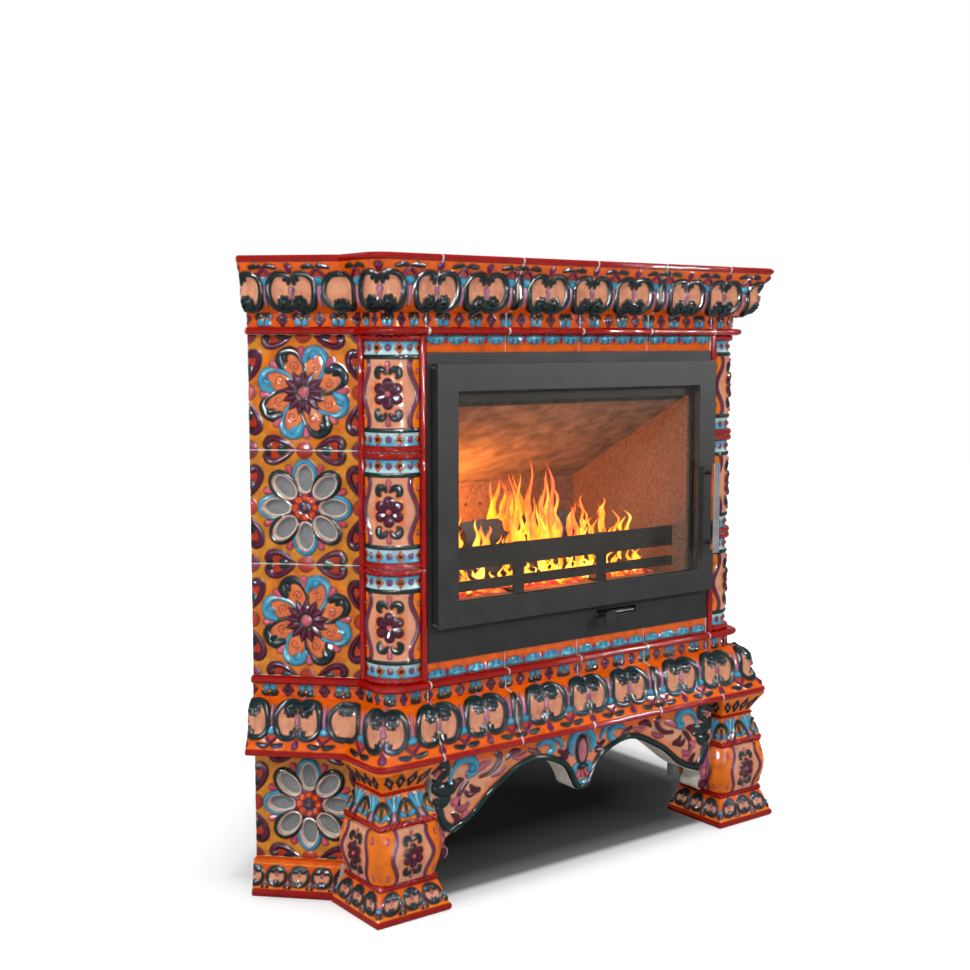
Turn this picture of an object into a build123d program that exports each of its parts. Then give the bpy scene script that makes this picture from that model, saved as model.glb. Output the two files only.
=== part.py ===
from build123d import *

import os
from math import cos, radians, sin, sqrt, tan

# Corner tiled stove: a glazed tile shell with a steel fireplace insert.
# The front runs along X. Y is measured from the plane of the front tiles and grows towards the
# room corner behind the stove; Z is up from the floor. The left half is drawn and mirrored.
# Every finished piece is moved back by half the depth, so the origin is under the middle.

os.makedirs("parts", exist_ok=True)

# ------------------------------------------------------------------ sizes in mm
# Tile grid and plan of the body
tile = 225.0  # side of a square stove tile
tiles_high = 3  # side tiles between shelf and cornice
tile_depth = 45.0  # face and rim together
tile_face = 12.0
tile_rim = 10.0
grout = 0.6  # joint between neighbours
front_tile = 192.25  # pitch of the moulding tiles along the front
front_tiles = 4
corner_step = 90.5  # the box corners stand this far outside the front face
leg_height = 298.0  # floor to the underside of the shelf
wall_gap = 10.0  # slabs and frames stay this far off the room walls
body_depth = 760.0  # front tile plane to the back of the slabs

# Moulding tiles, the same profile for the shelf and, upside down, the cornice
lip_reach = 63.0
lip_bead = 6.5
waist_height = 51.0
ovolo_start = 68.5
ovolo_radius = 37.0
band_reach = 3.0
band_height = 29.0
neck_bead = 7.0
neck_reach = 17.5
moulding_wall = 14.0
moulding_flange = 12.0
lip_round = 30.0  # plan radius of the box corner at the lip
neck_round = 46.0  # and at the neck

# Vent tiles
vent_petals = 8
vent_ring = 57.0  # circle through the petal openings' centres
vent_long = 52.0
vent_wide = 31.0

# Pilasters
column_radius = 58.5
column_reach = 44.0  # front of the column from the wing's tile plane
pilaster_base = 8.0
side_bead = 6.5
ring_height = 12.0
ring_reach = 6.0
cuff_height = 26.0
cuff_hollow = 3.0
cuff_bead = 9.0
cuff_bead_reach = 3.0
column_wall = 12.0

# Legs
leg_centre = 18.0  # the legs' axis behind the front tile plane
leg_from_corner = 15.0  # and inside the box corner's side plane
plinth_half = 87.3
plinth_bead = 9.0
plinth_top_half = 66.0
plinth_height = 62.0
rope_height = 14.0
rope_half = 68.0
belly_height = 105.0
belly_ends = (70.0, 72.0)  # half width at the bottom and the top
belly_half = 82.0
belly_chamfer = 27.0
palmette_height = 50.0
palmette_half = (66.0, 50.0)
collar_height = 7.0
capital_half = (48.0, 71.0)
capital_pad = 6.0
leg_bore = 20.6

# Base beside the legs
wing_plinth_reach = 36.0
wing_plinth_top = 20.0

# Apron between the legs
apron_recess = 18.0  # its face stands this far in front of the front tile plane
apron_depth = 55.0
apron_wall = 12.0
pendant_drop = 141.0  # lowest point of the pendant under the shelf
pendant_half = 27.0
crown_drop = 55.0
arch_crown_at = 138.0
spandrel_drop = 167.0
spandrel_inset = 29.5  # spandrel and bracket lobes, from the bracket's outer edge
bracket_drop = 212.0
bracket_lobe = 25.0  # height of the bracket's lower lobe
bracket_curl = 12.0
spandrel_curl = 8.0
apron_gap = 0.5

# Slabs and steel frames
slab_height = 50.0
slab_rise = 132.0  # top of the base slab above the underside of the shelf
top_slab_height = 38.0
frame_tube = 40.0
upper_tube = 30.0
frame_wall_offset = 18.0
upper_offset = 62.0
post_inset = 40.0  # frame posts from the ends of the wing

# Fireplace insert
frieze_height = 34.0
plate_thickness = 4.0
plate_side_gap = 1.0
casing_side_gap = 34.5  # casing from the outer ends of the front tiles
casing_depth = 430.0
casing_wall = 4.0
casing_foot = 55.0
casing_height = 575.0
mouth_inset = 49.5  # mouth from the door's side edges
mouth_rise = 46.0  # mouth above the door's lower edge
mouth_height = 392.0
foot_radius = 18.0
foot_inset = 66.0
flue_radius = 90.0
flue_wall = 3.0
flue_top = 1280.0
flue_from_front = 250.0
flue_flange = 20.0
flue_slab_gap = 25.0

# Firebox lining and its contents
hearth_rise = 34.0  # hearth floor above the door's lower edge
hearth_thickness = 20.0
lining = 20.0
back_lining = 25.0
back_lining_height = 195.0
lining_front = 8.0
air_hole = 4.5
air_hole_rise = 143.5  # above the hearth floor
air_hole_pitch = 41.0
air_holes = 13
baffle_thickness = 25.0
baffle_front = 32.0
baffle_front_rise = 393.0
grate_size = (300.0, 200.0)
grate_from_front = 225.0
grate_thickness = 10.0
grate_slot = 9.0
grate_slots = 11
pan_height = 45.0
pan_wall = 1.5
pan_margin = 10.0
guard_inset = 6.0
guard_from_front = 46.0
guard_bar = 6.0
guard_upper = (63.0, 108.0)  # above the hearth floor
guard_lower = (18.0, 39.0)
guard_post_at = 115.0
guard_post_width = 26.0
log_radius = 42.0
log_lengths = (400.0, 360.0, 330.0)

# Door
door_side_gap = 9.0  # door from the outer ends of the front tiles
door_rise = 69.9  # door above the lower edge of the front plate
door_height = 514.0
door_face = 29.0  # front of the door before the front tile plane
door_thickness = 20.0
door_wall = 4.0
stile = 48.5
top_rail = 53.0
bottom_rail = 48.5
glass_thickness = 4.0
glass_lap = 11.0
seat_gap = 0.2
retainer_lap = 3.0
retainer_width = 14.0
retainer_thickness = 3.0
seal_radius = 6.5
handle_length = 200.0
handle_width = 19.0
handle_depth = 10.0
handle_reach = 21.0
handle_inset = 22.5  # from the door's right edge
handle_rise = 189.0
handle_post = 5.0
handle_post_inset = 22.0
hinge_inset = (7.5, 14.0)  # pin axis from the door's left edge and from its face
pin_radius = 3.0
pin_clearance = 0.05
lug_thickness = 4.0
lug_half = 7.0
running_gap = 0.5
stud_radius = 4.0
stud_inset = 13.5
leaf_thickness = 2.0
leaf_gap = 0.4

# Air control
slot_left = 52.0
slot_right = 165.0
slot_rise = 40.9  # above the lower edge of the front plate
slot_height = 14.0
tab_width = 29.0
tab_drop = 16.5
tab_rise = 7.5
tab_reach = 30.0
tab_side_gap = 1.5
slide_width = 160.0
slide_depth = 98.0
slide_thickness = 3.0
air_port = 12.0
air_ports = 3
air_floor_depth = 110.0

# ------------------------------------------------------------------ plan geometry, left side
root2 = sqrt(2)
face_half = front_tiles * front_tile / 2
box_half = face_half + corner_step
wall_line = corner_step + box_half + tile * root2  # y - x along the left room wall
cove_height = ovolo_start + ovolo_radius + band_height
neck_height = 2 * neck_bead
moulding_height = cove_height + neck_height
stack_low = leg_height + moulding_height
stack_high = stack_low + tiles_high * tile
total_height = stack_high + moulding_height
leg_x = box_half - leg_from_corner
front_reach = plinth_half - leg_centre  # the leg plinths are the foremost pieces
middle_y = (body_depth - front_reach) / 2

# widths that follow from the front, heights from the leg, the shelf and the front plate
casing_half = face_half - casing_side_gap
door_half = face_half - door_side_gap
mouth_half = door_half - mouth_inset
guard_half = mouth_half - guard_inset
slab_top = leg_height + slab_rise
plate_low = stack_low + frieze_height + grout
plate_high = stack_high - frieze_height - grout
slot_low = plate_low + slot_rise
door_low = plate_low + door_rise
door_high = door_low + door_height
mouth_low = door_low + mouth_rise
mouth_high = mouth_low + mouth_height
hearth_top = door_low + hearth_rise
back_lining_top = hearth_top + back_lining_height
handle_middle = door_low + handle_rise
handle_x = door_half - handle_inset


def fold(out):
    """Where the box corner's short side meets the wing, at an offset from the tile plane."""
    return -(box_half + out), corner_step - out * (root2 - 1)


def wall_end(out):
    """Where the wing's plane, at an offset, meets the room wall."""
    wing_sum = face_half + out * root2
    return (-wing_sum - wall_line) / 2, (wall_line - wing_sum) / 2


def along_wing(start, out):
    """A point on the wing, a distance from the fold towards the wall."""
    x, y = fold(0)
    return x - (start + out) / root2, y + (start - out) / root2


def plane_on_wing(start):
    """Plane across the wing: its x points out of the wall, its y up."""
    x, y = along_wing(start, 0)
    return Plane(origin=(x, y, 0), x_dir=(-1, -1, 0), z_dir=(-1, 1, 0))


def save(piece, name):
    """Move a finished piece to the stove's own origin, label it and write it."""
    placed = piece.moved(Location((0, -middle_y, 0)))
    placed.label = name
    export_step(placed, f"parts/{name}.step")


def save_pair(piece, name):
    """Write a left piece and its mirror image."""
    save(piece, name + "_left")
    save(mirror(piece, about=Plane.YZ), name + "_right")


# ------------------------------------------------------------------ moulding tiles
def cove_stations():
    """Height from the lip and offset from the tile plane, up to the top of the small band."""
    points = []
    for step in range(7):
        angle = radians(-90 + 25 * step)
        points.append((lip_bead * (1 + sin(angle)), lip_reach - lip_bead * (1 - cos(angle))))
    bead_end, bead_out = points[-1]
    waist = band_reach + ovolo_radius
    for step in range(1, 6):
        part = step / 5
        height = bead_end + (waist_height - bead_end) * part
        points.append((height, waist + (bead_out - waist) * (1 - part) ** 1.3))
    for step in range(9):
        angle = radians(90 * step / 8)
        points.append((ovolo_start + ovolo_radius * sin(angle), band_reach + ovolo_radius * cos(angle)))
    points.append((cove_height, band_reach))
    return points


def neck_stations(start):
    """The thin round bead at the neck, from its foot to its flat end."""
    points = []
    for step in range(7):
        angle = radians(-60 + 25 * step)
        reach = neck_reach - neck_bead * (1 - cos(angle))
        points.append((start + neck_bead * (1 + sin(angle)), reach))
    return points


def corner_round(out):
    """Plan radius of the box corner: tight at the lip, wide at the neck."""
    return neck_round + (lip_round - neck_round) * max(out, 0) / lip_reach


def corner_band(z, out, back):
    """Plan of a box corner piece between two offsets from the tile plane."""
    radius = corner_round(out)
    back_radius = max(radius - (out - back), 4)
    with BuildSketch(Plane.XY.offset(z)) as plan:
        with BuildLine():
            edges = []
            for offset, bend in ((out, radius), (back, back_radius)):
                side = -(box_half + offset)
                start = (-face_half, -offset)
                before = (side + bend, -offset)
                middle = (side + bend * (1 - 1 / root2), -offset + bend * (1 - 1 / root2))
                after = (side, -offset + bend)
                Line(start, before)
                ThreePointArc(before, middle, after)
                Line(after, fold(offset))
                edges.append((start, fold(offset)))
            Line(edges[0][0], edges[1][0])
            Line(edges[0][1], edges[1][1])
        make_face()
    return plan.sketch


def corner_piece(stations, lip_z, turn):
    """Hollow corner piece: stations rise from the lip where turn is 1, and hang where it is -1."""
    top = max(height for height, out in stations)
    low = min(height for height, out in stations)
    first_out = min(out for height, out in stations if height - low <= moulding_flange)
    last_out = min(out for height, out in stations if top - height <= moulding_flange)
    with BuildPart() as piece:
        loft([corner_band(lip_z + turn * h, out, out - moulding_wall).face() for h, out in stations], ruled=True)
        near = corner_band(lip_z + turn * low, first_out - moulding_wall / 2, -tile_depth)
        extrude(near, amount=moulding_flange, dir=(0, 0, turn))
        far = corner_band(lip_z + turn * top, last_out - moulding_wall / 2, -tile_depth)
        extrude(far, amount=moulding_flange, dir=(0, 0, -turn))
    return piece.part


def moulding_outline(stations, turn, lip_z):
    """Closed section of a straight moulding tile with its two flanges: (offset, z) points."""
    low = stations[0][0] + moulding_flange
    top = stations[-1][0] - moulding_flange
    inner = [(out - moulding_wall, height) for height, out in stations if low < height < top]
    outer = [(out, height) for height, out in stations]
    low_in = inner[0][0]
    top_in = inner[-1][0]
    points = [(-tile_depth, stations[0][0])] + outer + [(-tile_depth, stations[-1][0]), (-tile_depth, top)]
    points += [(top_in, top)] + inner[::-1] + [(low_in, low), (-tile_depth, low)]
    return [(out, lip_z + turn * height) for out, height in points]


def strip_outline(stations, turn, lip_z):
    """Closed section of a solid bead strip: (offset, z) points."""
    points = [(-tile_depth, stations[0][0])] + [(out, height) for height, out in stations]
    points.append((-tile_depth, stations[-1][0]))
    return [(out, lip_z + turn * height) for out, height in points]


def wing_length_of(outline):
    """Extrude a section along the wing and mitre it at the fold."""
    lead = lip_reach + tile_depth
    with BuildPart() as piece:
        with BuildSketch(plane_on_wing(-lead)):
            with BuildLine():
                Polyline(outline, close=True)
            make_face()
        extrude(amount=tile + lead)
        x, y = along_wing(grout, 0)
        mitre = Plane(origin=(x, y, 0), x_dir=(1, root2 - 1, 0), z_dir=(1 - root2, 1, 0))
        split(bisect_by=mitre, keep=Keep.TOP)
    return piece.part


def front_row_of(outline, tiles=front_tiles, length=front_tile):
    """A row of straight tiles along the front, one solid for each."""
    with BuildPart() as row:
        for number in range(tiles):
            left = (number - tiles / 2) * length + grout / 2
            with BuildSketch(Plane.YZ.offset(left)):
                with BuildLine():
                    Polyline([(-out, z) for out, z in outline], close=True)
                make_face()
            extrude(amount=length - grout)
    return row.part


shelf = cove_stations() + neck_stations(cove_height)
with BuildPart() as shelf_corner:
    add(corner_piece(shelf, leg_height, 1))
    with BuildSketch(Plane.XY.offset(leg_height)):
        with Locations((-leg_x, leg_centre)):
            Circle(leg_bore)
    extrude(amount=moulding_flange, mode=Mode.SUBTRACT)
save_pair(shelf_corner.part, "shelf_corner")
save_pair(wing_length_of(moulding_outline(shelf, 1, leg_height)), "shelf_wing")
save(front_row_of(moulding_outline(shelf, 1, leg_height)), "shelf_front")

cornice = cove_stations()
save_pair(corner_piece(cornice, total_height, -1), "cornice_corner")
save_pair(wing_length_of(moulding_outline(cornice, -1, total_height)), "cornice_wing")
save(front_row_of(moulding_outline(cornice, -1, total_height)), "cornice_front")

neck = [(cove_height, band_reach)] + neck_stations(cove_height)
with BuildPart() as neck_corner:
    loft([corner_band(total_height - h, out, -tile_depth).face() for h, out in neck], ruled=True)
neck_wing = wing_length_of(strip_outline(neck, -1, total_height))
with BuildPart() as cornice_bead:
    add(neck_corner.part)
    add(neck_wing)
    mirror(about=Plane.YZ)
    add(front_row_of(strip_outline(neck, -1, total_height), 1, 2 * face_half))
save(cornice_bead.part, "cornice_bead")


# ------------------------------------------------------------------ side and vent tiles
def wall_tile(low, vented):
    """Square tile on the wing with a rim behind its face, and petal openings if it vents."""
    x, y = along_wing(tile / 2, 0)
    face = Plane(origin=(x, y, low + tile / 2), x_dir=(-1, 1, 0), z_dir=(-1, -1, 0))
    with BuildPart() as piece:
        with BuildSketch(face):
            Rectangle(tile - grout, tile)
        extrude(amount=-tile_depth)
        with BuildSketch(face.offset(-tile_face)):
            Rectangle(tile - grout - 2 * tile_rim, tile - 2 * tile_rim)
        extrude(amount=-tile_depth, mode=Mode.SUBTRACT)
        if vented:
            with BuildSketch(face):
                with PolarLocations(vent_ring, vent_petals):
                    Ellipse(vent_long / 2, vent_wide / 2)
            extrude(amount=-tile_face, mode=Mode.SUBTRACT)
    return piece.part


for level in range(tiles_high):
    middle = level == tiles_high // 2
    save_pair(wall_tile(stack_low + level * tile, middle), f"side_{'vent_' if middle else ''}tile_{level + 1}")

base_tile_low = leg_height - tile


def behind(piece, limit):
    """Cut a base piece off square behind the leg."""
    with BuildPart() as trimmed:
        add(piece)
        split(bisect_by=Plane.XZ.offset(-limit), keep=Keep.BOTTOM)
    return trimmed.part


save_pair(behind(wall_tile(base_tile_low, True), leg_centre + belly_half + grout), "base_vent_tile")


def wing_plinth_outline():
    """Section of the base moulding under the vent tile: bead, cove and sloping top."""
    bead = plinth_bead
    points = [(-tile_depth, 0)]
    for step in range(7):
        angle = radians(-90 + 30 * step)
        points.append((wing_plinth_reach - bead * (1 - cos(angle)), bead * (1 + sin(angle))))
    points[-1] = (wing_plinth_reach - bead / 2, 2 * bead)
    points.append((wing_plinth_top + (wing_plinth_reach - wing_plinth_top) * 0.3, base_tile_low * 0.6))
    points.append((wing_plinth_top, base_tile_low - band_reach))
    points.append((wing_plinth_top - band_reach, base_tile_low))
    points.append((-tile_depth, base_tile_low))
    return points


save_pair(behind(wing_length_of(wing_plinth_outline()), leg_centre + plinth_half + grout), "wing_plinth")

# ------------------------------------------------------------------ pilasters
chord_half = corner_step * root2 / 2
pilaster_x, pilaster_y = along_wing(-chord_half, 0)
axis_x, axis_y = along_wing(-chord_half, column_reach - column_radius)
pilaster_tile_height = tile - grout


def column_profile():
    """Radius against height of one pilaster tile: rings, hollow cuffs and a plain drum."""
    lower = []
    ring = ring_height / 2
    for step in range(5):
        angle = radians(-90 + 45 * step)
        lower.append((column_radius + ring_reach * cos(angle), ring * (1 + sin(angle))))
    for step in range(1, 4):
        hollow = cuff_hollow * sin(radians(45 * step))
        lower.append((column_radius - hollow, ring_height + cuff_height * step / 4))
    start = ring_height + cuff_height
    for step in range(5):
        angle = radians(-90 + 45 * step)
        lower.append((column_radius + cuff_bead_reach * cos(angle), start + cuff_bead / 2 * (1 + sin(angle))))
    upper = [(radius, pilaster_tile_height - height) for radius, height in reversed(lower)]
    return [(0, 0)] + lower + upper + [(0, pilaster_tile_height)]


def pilaster_tile(low):
    """One tile of a pilaster: half column between two beads on a mitred base."""
    local = Plane(origin=(pilaster_x, pilaster_y, low), x_dir=(1, -1, 0), z_dir=(0, 0, 1))
    upright = Plane(origin=(axis_x, axis_y, low), x_dir=(-1, -1, 0), z_dir=(-1, 1, 0))
    half = chord_half - grout / 2
    mitre = tile_depth * tan(radians(22.5))
    with BuildPart() as piece:
        with BuildSketch(upright):
            with BuildLine():
                Polyline(column_profile(), close=True)
            make_face()
        revolve(axis=Axis((axis_x, axis_y, 0), (0, 0, 1)))
        split(bisect_by=Plane(local.origin, x_dir=(0, 0, 1), z_dir=(-1, -1, 0)), keep=Keep.TOP)
        with BuildSketch(local):
            with BuildLine():
                base = [(-half, -pilaster_base), (half, -pilaster_base), (half, 0)]
                Polyline(base + [(half - mitre, tile_depth), (-half, tile_depth)], close=True)
            make_face()
            for side in (-1, 1):
                with Locations((side * (half - side_bead / 2), -pilaster_base)):
                    Circle(side_bead)
        extrude(amount=pilaster_tile_height)
        with BuildSketch(local.offset(tile_rim)):
            with Locations((0, column_radius - column_reach)):
                Circle(column_radius - column_wall)
            with Locations((-mitre / 2, tile_depth)):
                Rectangle(2 * (half - mitre - tile_rim), 2 * tile_depth)
        extrude(amount=pilaster_tile_height - 2 * tile_rim, mode=Mode.SUBTRACT)
    return piece.part


with BuildPart() as pilaster:
    for level in range(tiles_high):
        add(pilaster_tile(stack_low + grout / 2 + level * tile))
save_pair(pilaster.part, "pilaster")


# ------------------------------------------------------------------ legs
def leg_slice(z, half, cut):
    """Square with cut corners, at a height."""
    corners = []
    for along, across in ((1, 1), (-1, 1), (-1, -1), (1, -1)):
        first = (-leg_x + along * half, leg_centre + across * (half - cut))
        second = (-leg_x + along * (half - cut), leg_centre + across * half)
        corners += [first, second] if along == across else [second, first]
    with BuildSketch(Plane.XY.offset(z)) as plan:
        with BuildLine():
            Polyline(corners, close=True)
        make_face()
    return plan.sketch.face()


def leg_piece(stations, pad=0.0):
    """Loft through slices, add a flat pad on top and bore it for the steel post."""
    low = stations[0][0]
    high = stations[-1][0] + pad
    with BuildPart() as piece:
        loft([leg_slice(z, half, cut) for z, half, cut in stations], ruled=True)
        if pad:
            extrude(leg_slice(*stations[-1]), amount=pad)
        with BuildSketch(Plane.XY.offset(low)):
            with Locations((-leg_x, leg_centre)):
                Circle(leg_bore)
        extrude(amount=high - low, mode=Mode.SUBTRACT)
    return piece.part


def rope(low):
    """Stations of a rope ring."""
    points = []
    for step in range(5):
        angle = radians(-60 + 30 * step)
        reach = rope_half - rope_height / 2 * (1 - cos(angle))
        points.append((low + rope_height / 2 * (1 + sin(angle)), reach, 3))
    return points


plinth_stations = []
for bead_step in range(5):
    bead_angle = radians(-90 + 37.5 * bead_step)
    reach_now = plinth_half - plinth_bead * (1 - cos(bead_angle))
    plinth_stations.append((plinth_bead * (1 + sin(bead_angle)), reach_now, 2))
cove_low = plinth_stations[-1][0]
for cove_step in range(1, 5):
    share = cove_step / 4
    cove_half = plinth_top_half + (plinth_stations[4][1] - plinth_top_half) * (1 - share) ** 0.8
    plinth_stations.append((cove_low + (plinth_height - cove_low) * share, cove_half, 2))
save_pair(leg_piece(plinth_stations + rope(plinth_height)), "leg_plinth")

belly_low = plinth_height + rope_height
belly_stations = []
for belly_step in range(9):
    share = belly_step / 8
    ends = belly_ends[0] + (belly_ends[1] - belly_ends[0]) * share
    swell = sin(radians(180 * share)) ** 1.2
    half_now = ends + (belly_half - (belly_ends[0] + belly_ends[1]) / 2) * swell
    belly_stations.append((belly_low + belly_height * share, half_now, belly_chamfer * (0.8 + 0.2 * swell)))
save_pair(leg_piece(belly_stations), "leg_body")

capital_low = belly_low + belly_height
palmette_low = capital_low + rope_height
collar_low = palmette_low + palmette_height
capital_stations = rope(capital_low)
for step_up in range(4):
    share = step_up / 3
    half_now = palmette_half[1] + (palmette_half[0] - palmette_half[1]) * (1 - share) ** 1.6
    capital_stations.append((palmette_low + palmette_height * share, half_now, 3))
capital_stations.append((collar_low + collar_height / 2, palmette_half[1] + collar_height / 2, 3))
capital_stations.append((collar_low + collar_height, capital_half[0], 3))
pad_low = leg_height - capital_pad
for step_up in range(1, 4):
    share = step_up / 3
    half_now = capital_half[0] + (capital_half[1] - capital_half[0]) * share ** 1.2
    level_now = collar_low + collar_height + (pad_low - collar_low - collar_height) * share
    capital_stations.append((level_now, half_now, 3))
save_pair(leg_piece(capital_stations, capital_pad), "leg_capital")

# ------------------------------------------------------------------ apron
apron_face = Plane(origin=(0, -apron_recess, 0), x_dir=(1, 0, 0), z_dir=(0, -1, 0))
bracket_outer = leg_x - belly_half - apron_gap
apron_outer = leg_x - capital_half[1] - apron_gap
pendant_low = leg_height - pendant_drop
arch_crown = leg_height - crown_drop
spandrel_low = leg_height - spandrel_drop
bracket_low = leg_height - bracket_drop
spandrel_at = bracket_outer - spandrel_inset
arch_drop = arch_crown - spandrel_low
with BuildPart() as apron:
    with BuildSketch(apron_face):
        with BuildLine():
            Line((0, leg_height), (apron_outer, leg_height))
            Line((apron_outer, leg_height), (apron_outer, palmette_low))
            Line((apron_outer, palmette_low), (bracket_outer, capital_low))
            Line((bracket_outer, capital_low), (bracket_outer, bracket_low))
            toe = (spandrel_at + spandrel_curl, bracket_low)
            Line((bracket_outer, bracket_low), toe)
            heel = (spandrel_at + 1.125 * spandrel_curl, bracket_low + bracket_lobe)
            ThreePointArc(toe, (spandrel_at, bracket_low + bracket_curl), heel)
            ThreePointArc(heel, (heel[0], spandrel_low - spandrel_curl), (spandrel_at, spandrel_low))
            arch_run = spandrel_at - arch_crown_at
            Spline(
                (spandrel_at, spandrel_low),
                (spandrel_at - 0.276 * arch_run, spandrel_low + 0.22 * arch_drop),
                (spandrel_at - 0.581 * arch_run, spandrel_low + 0.66 * arch_drop),
                (arch_crown_at, arch_crown),
                (pendant_half + 31, arch_crown - 0.2 * arch_drop),
                (pendant_half, pendant_low + 21),
            )
            ThreePointArc((pendant_half, pendant_low + 21), (pendant_half * 0.72, pendant_low + 7), (0, pendant_low))
            mirror(about=Plane.YZ)
        make_face()
    extrude(amount=-apron_depth)
    with BuildSketch(apron_face.offset(-apron_wall)):
        with Locations((0, (arch_crown + leg_height) / 2)):
            Rectangle(2 * (apron_outer - apron_wall), leg_height - arch_crown - 2 * apron_wall)
    extrude(amount=-apron_depth, mode=Mode.SUBTRACT)
save(apron.part, "apron")


# ------------------------------------------------------------------ slabs and frames
def shell_plan(out, wall_off, back):
    """Plan inside the tile shell: the tile plane's offset, the gap to the walls, the back edge."""
    wall_now = wall_line - wall_off * root2
    wing_sum = face_half + out * root2
    left = [
        (-(box_half + out), -out),
        fold(out),
        ((-wing_sum - wall_now) / 2, (wall_now - wing_sum) / 2),
        (back - wall_now, back),
    ]
    return left + [(-x, y) for x, y in reversed(left)]


def slab(low, height, out, corner_radius):
    """Flat slab with rounded front corners."""
    with BuildPart() as piece:
        with BuildSketch(Plane.XY.offset(low)) as plan:
            with BuildLine():
                Polyline(shell_plan(out, wall_gap, body_depth), close=True)
            make_face()
            fillet(plan.vertices().group_by(Axis.Y)[0], corner_radius)
        extrude(amount=height)
    return piece.part


def frame_ring(low, tube, out):
    """Closed ring of square tube under a slab."""
    with BuildPart() as ring:
        with BuildSketch(Plane.XY.offset(low)):
            with BuildLine():
                Polyline(shell_plan(out, wall_gap, body_depth), close=True)
            make_face()
            with BuildLine():
                Polyline(shell_plan(out - tube, wall_gap + tube, body_depth - tube), close=True)
            make_face(mode=Mode.SUBTRACT)
        extrude(amount=tube)
    return ring.part


def posts(low, high, tube, places):
    """Upright square tubes: (x, y, turn) each."""
    with BuildPart() as uprights:
        with BuildSketch(Plane.XY.offset(low)):
            for x, y, turn in places:
                with Locations(Location((x, y, 0), (0, 0, turn))):
                    Rectangle(tube, tube)
        extrude(amount=high - low)
    return uprights.part


def rear_post(tube):
    """Place of the post at the back end of a ring."""
    return body_depth + tube / 2 - wall_line + wall_gap * root2, body_depth - tube / 2, 0


save(slab(slab_top - slab_height, slab_height, band_reach - moulding_wall - grout, neck_round), "base_slab")

top_slab_low = total_height - top_slab_height
with BuildPart() as top_slab:
    add(slab(top_slab_low, top_slab_height, -tile_depth - grout, tile_rim))
    with BuildSketch(Plane.XY.offset(top_slab_low)):
        with Locations((0, flue_from_front)):
            Circle(flue_radius + flue_wall + flue_slab_gap)
    extrude(amount=top_slab_height, mode=Mode.SUBTRACT)
save(top_slab.part, "top_slab")

lower_ring = slab_top - slab_height - frame_tube
side_x, side_y = along_wing(tile - post_inset, -tile_depth - grout - frame_tube / 2)
with BuildPart() as lower_frame:
    add(frame_ring(lower_ring, frame_tube, -frame_wall_offset + frame_tube / 2))
    for place in ((side_x, side_y, 45), rear_post(frame_tube)):
        add(posts(0, lower_ring, frame_tube, [place]))
    with BuildSketch():
        with Locations((-leg_x, leg_centre)):
            Circle(frame_tube / 2)
    extrude(amount=lower_ring)
    mirror(about=Plane.YZ)
save(lower_frame.part, "lower_frame")

upper_ring = top_slab_low - upper_tube
near_x, near_y = along_wing(post_inset, -upper_offset)
far_x, far_y = along_wing(tile - post_inset, -upper_offset)
with BuildPart() as upper_frame:
    add(frame_ring(upper_ring, upper_tube, -upper_offset + upper_tube / 2))
    for place in ((near_x, near_y, 45), (far_x, far_y, 45), rear_post(upper_tube)):
        add(posts(slab_top, upper_ring, upper_tube, [place]))
    mirror(about=Plane.YZ)
save(upper_frame.part, "upper_frame")


# ------------------------------------------------------------------ front friezes
def block(x, y, z):
    """Plain box between pairs of limits."""
    with BuildPart() as piece:
        with Locations(((x[0] + x[1]) / 2, (y[0] + y[1]) / 2, (z[0] + z[1]) / 2)):
            Box(x[1] - x[0], y[1] - y[0], z[1] - z[0])
    return piece.part


def frieze(low):
    """Narrow front tiles with their outer ends mitred against the pilasters."""
    with BuildPart() as row:
        for number in range(front_tiles):
            left = (number - front_tiles / 2) * front_tile + grout / 2
            right = left + front_tile - grout
            add(block((left, right), (0, tile_depth), (low, low + frieze_height)))
            hollow_x = (left + tile_rim, right - tile_rim)
            pocket = block(hollow_x, (tile_face, tile_depth), (low + tile_rim, low + frieze_height))
            add(pocket, mode=Mode.SUBTRACT)
        for side in (-1, 1):
            edge = (side * (face_half - grout), 0, 0)
            lean = tan(radians(22.5))
            split(bisect_by=Plane(edge, x_dir=(-side * lean, 1, 0), z_dir=(side, lean, 0)), keep=Keep.BOTTOM)
    return row.part


save(frieze(stack_low), "frieze_lower")
save(frieze(stack_high - frieze_height), "frieze_upper")

# ------------------------------------------------------------------ insert: plate, casing, flue
plate_half = face_half - plate_side_gap
casing_low = slab_top + casing_foot
casing_high = casing_low + casing_height
inner_half = casing_half - casing_wall
inner_back = casing_depth - casing_wall
with BuildPart() as insert_plate:
    add(block((-plate_half, plate_half), (-plate_thickness, 0), (plate_low, plate_high)))
    mouth = block((-mouth_half, mouth_half), (-plate_thickness, 0), (mouth_low, mouth_high))
    add(mouth, mode=Mode.SUBTRACT)
    slot = block((slot_left, slot_right), (-plate_thickness, 0), (slot_low, slot_low + slot_height))
    add(slot, mode=Mode.SUBTRACT)
save(insert_plate.part, "insert_plate")

hearth_low = hearth_top - hearth_thickness
with BuildPart() as insert_casing:
    add(block((-casing_half, casing_half), (0, casing_depth), (casing_low, casing_high)))
    inner_z = (casing_low + casing_wall, casing_high - casing_wall)
    add(block((-inner_half, inner_half), (0, inner_back), inner_z), mode=Mode.SUBTRACT)
    for side in (-1, 1):
        ledge = sorted((side * inner_half, side * (inner_half - 4 * casing_wall)))
        add(block(ledge, (lining_front, inner_back), (hearth_low - casing_wall, hearth_low)))
    with BuildSketch(Plane.XY.offset(casing_high - casing_wall)):
        with Locations((0, flue_from_front)):
            Circle(flue_radius)
    extrude(amount=casing_wall, mode=Mode.SUBTRACT)
save(insert_casing.part, "insert_casing")

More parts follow.
